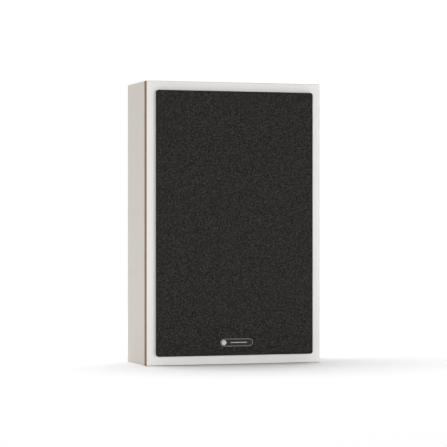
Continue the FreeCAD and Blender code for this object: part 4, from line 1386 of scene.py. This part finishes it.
@dataclass
class Crossover:
    """The circuit board and what is on it, with its leads."""

    def build(self) -> None:
        """Dresses every part of it."""
        for node, finish in (
            ("crossover_board", GREEN_BOARD), ("board_fixings", ZINC_PLATE),
            ("woofer_inductor", THICK_WINDING), ("tweeter_inductor", UPRIGHT_WINDING),
            ("capacitors", FILM_WRAP), ("resistors", CERAMIC_CASE),
            ("wiring_loom", WIRE_SLEEVE),
        ):
            dress(node, finish)


# ---- the studio --------------------------------------------------------------------------------------------


@dataclass
class Softbox:
    """One soft light.

    Attributes:
        name: Its name.
        place: Where it stands, in metres.
        aim: The point it faces.
        size: Its width and height.
        watts: Its power.
    """

    name: str
    place: tuple[float, float, float]
    aim: tuple[float, float, float]
    size: Point2
    watts: float

    def build(self) -> None:
        """Makes the light, hidden from the camera itself."""
        lamp = bpy.data.lights.new(self.name, "AREA")
        lamp.shape = "RECTANGLE"
        lamp.size, lamp.size_y = self.size
        lamp.energy = self.watts
        box = bpy.data.objects.new(self.name, lamp)
        box.location = self.place
        box.rotation_euler = (Vector(self.aim) - Vector(self.place)).to_track_quat("-Z", "Y").to_euler()
        box.visible_camera = False
        bpy.context.scene.collection.objects.link(box)


@dataclass
class Studio:
    """White paper, soft lights, and a long lens at the height of the cabinet's middle.

    Attributes:
        lens_mm: The focal length on a 36 mm frame.
        turn_degrees: How far the camera looks to the right of straight at the front.
        stand_mm: The camera's X, its depth behind the front face, and its height.
        floor_m: The radius of the paper.
        floor_drop_mm: How far the paper lies below the cabinet's base.
        sky: The brightness of the room's even light.
        backdrop: The brightness of the white behind the object.
    """

    lens_mm: float = 158.75
    turn_degrees: float = 17.7376
    stand_mm: tuple[float, float, float] = (-737.5, -2262.8, 169.76)
    floor_m: float = 1.7
    floor_drop_mm: float = 0.2
    sky: float = 0.25
    backdrop: float = 1.02

    def build(self) -> None:
        """Makes the camera, the paper, the lights and the room."""
        self.camera()
        self.paper()
        self.room()
        for light in (
            Softbox("overhead_softbox", (0.0, 0.95, 3.2), (0.0, 0.95, 0.0), (4.4, 2.8), 124.0),
            Softbox("front_softbox", (0.9, -2.75, 0.33), (0.0, 0.0, 0.1), (1.2, 0.6), 26.0),
            Softbox("fill_softbox", (-0.6, -2.75, 0.31), (0.0, 0.0, 0.05), (0.9, 0.6), 23.5),
            Softbox("left_softbox", (-1.9, 0.42, 1.0), (0.0, 0.0, 0.2), (0.8, 0.8), 8.5),
        ):
            light.build()

    def camera(self) -> None:
        """Stands the camera level at the front left, and turns it to the right."""
        lens = bpy.data.cameras.new("studio_camera")
        lens.sensor_width = 36.0
        lens.lens = self.lens_mm
        stand = bpy.data.objects.new("studio_camera", lens)
        stand.location = at(*self.stand_mm)
        stand.rotation_euler = (math.radians(90), 0.0, -math.radians(self.turn_degrees))
        bpy.context.scene.collection.objects.link(stand)
        bpy.context.scene.camera = stand

    def paper(self) -> None:
        """Lays a round of white paper under the cabinet."""
        build = bmesh.new()
        bmesh.ops.create_circle(build, cap_ends=True, segments=96, radius=self.floor_m)
        mesh = bpy.data.meshes.new("studio_floor")
        build.to_mesh(mesh)
        build.free()
        floor = bpy.data.objects.new("studio_floor", mesh)
        floor.location.z = -self.floor_drop_mm * MM
        mesh.materials.append(STUDIO_PAPER.material())
        bpy.context.scene.collection.objects.link(floor)

    def room(self) -> None:
        """Gives the room an even white light, and the camera a white backdrop."""
        scene = bpy.context.scene
        scene.view_settings.view_transform = "Standard"
        world = bpy.data.worlds.new("white_room")
        scene.world = world
        world.use_nodes = True
        tree = world.node_tree
        tree.nodes.clear()
        seen = add(tree, "ShaderNodeLightPath").outputs["Is Camera Ray"]
        strength = add(tree, "ShaderNodeMix", {"Factor": seen, 2: self.sky, 3: self.backdrop}).outputs[0]
        light = add(tree, "ShaderNodeBackground", {"Color": linear("FFFFFF"), "Strength": strength})
        add(tree, "ShaderNodeOutputWorld", {"Surface": light.outputs[0]})


# ---- all of it ---------------------------------------------------------------------------------------------


class Builder(Protocol):
    """Anything that puts its own pieces into the scene."""

    def build(self) -> None:
        """Makes the pieces."""


def main() -> None:
    """Builds the studio, then the loudspeaker from the outside in."""
    logging.basicConfig(level=logging.INFO, format="%(name)s: %(message)s")
    builders: Iterable[Builder] = (
        Studio(), Cabinet(), Grille(Sheet(), Badge()), Woofer(), Tweeter(), Terminals(), Crossover(),
    )
    for part in builders:
        LOG.info("building the %s", type(part).__name__.lower())
        part.build()


if __name__ == "__main__":
    main()
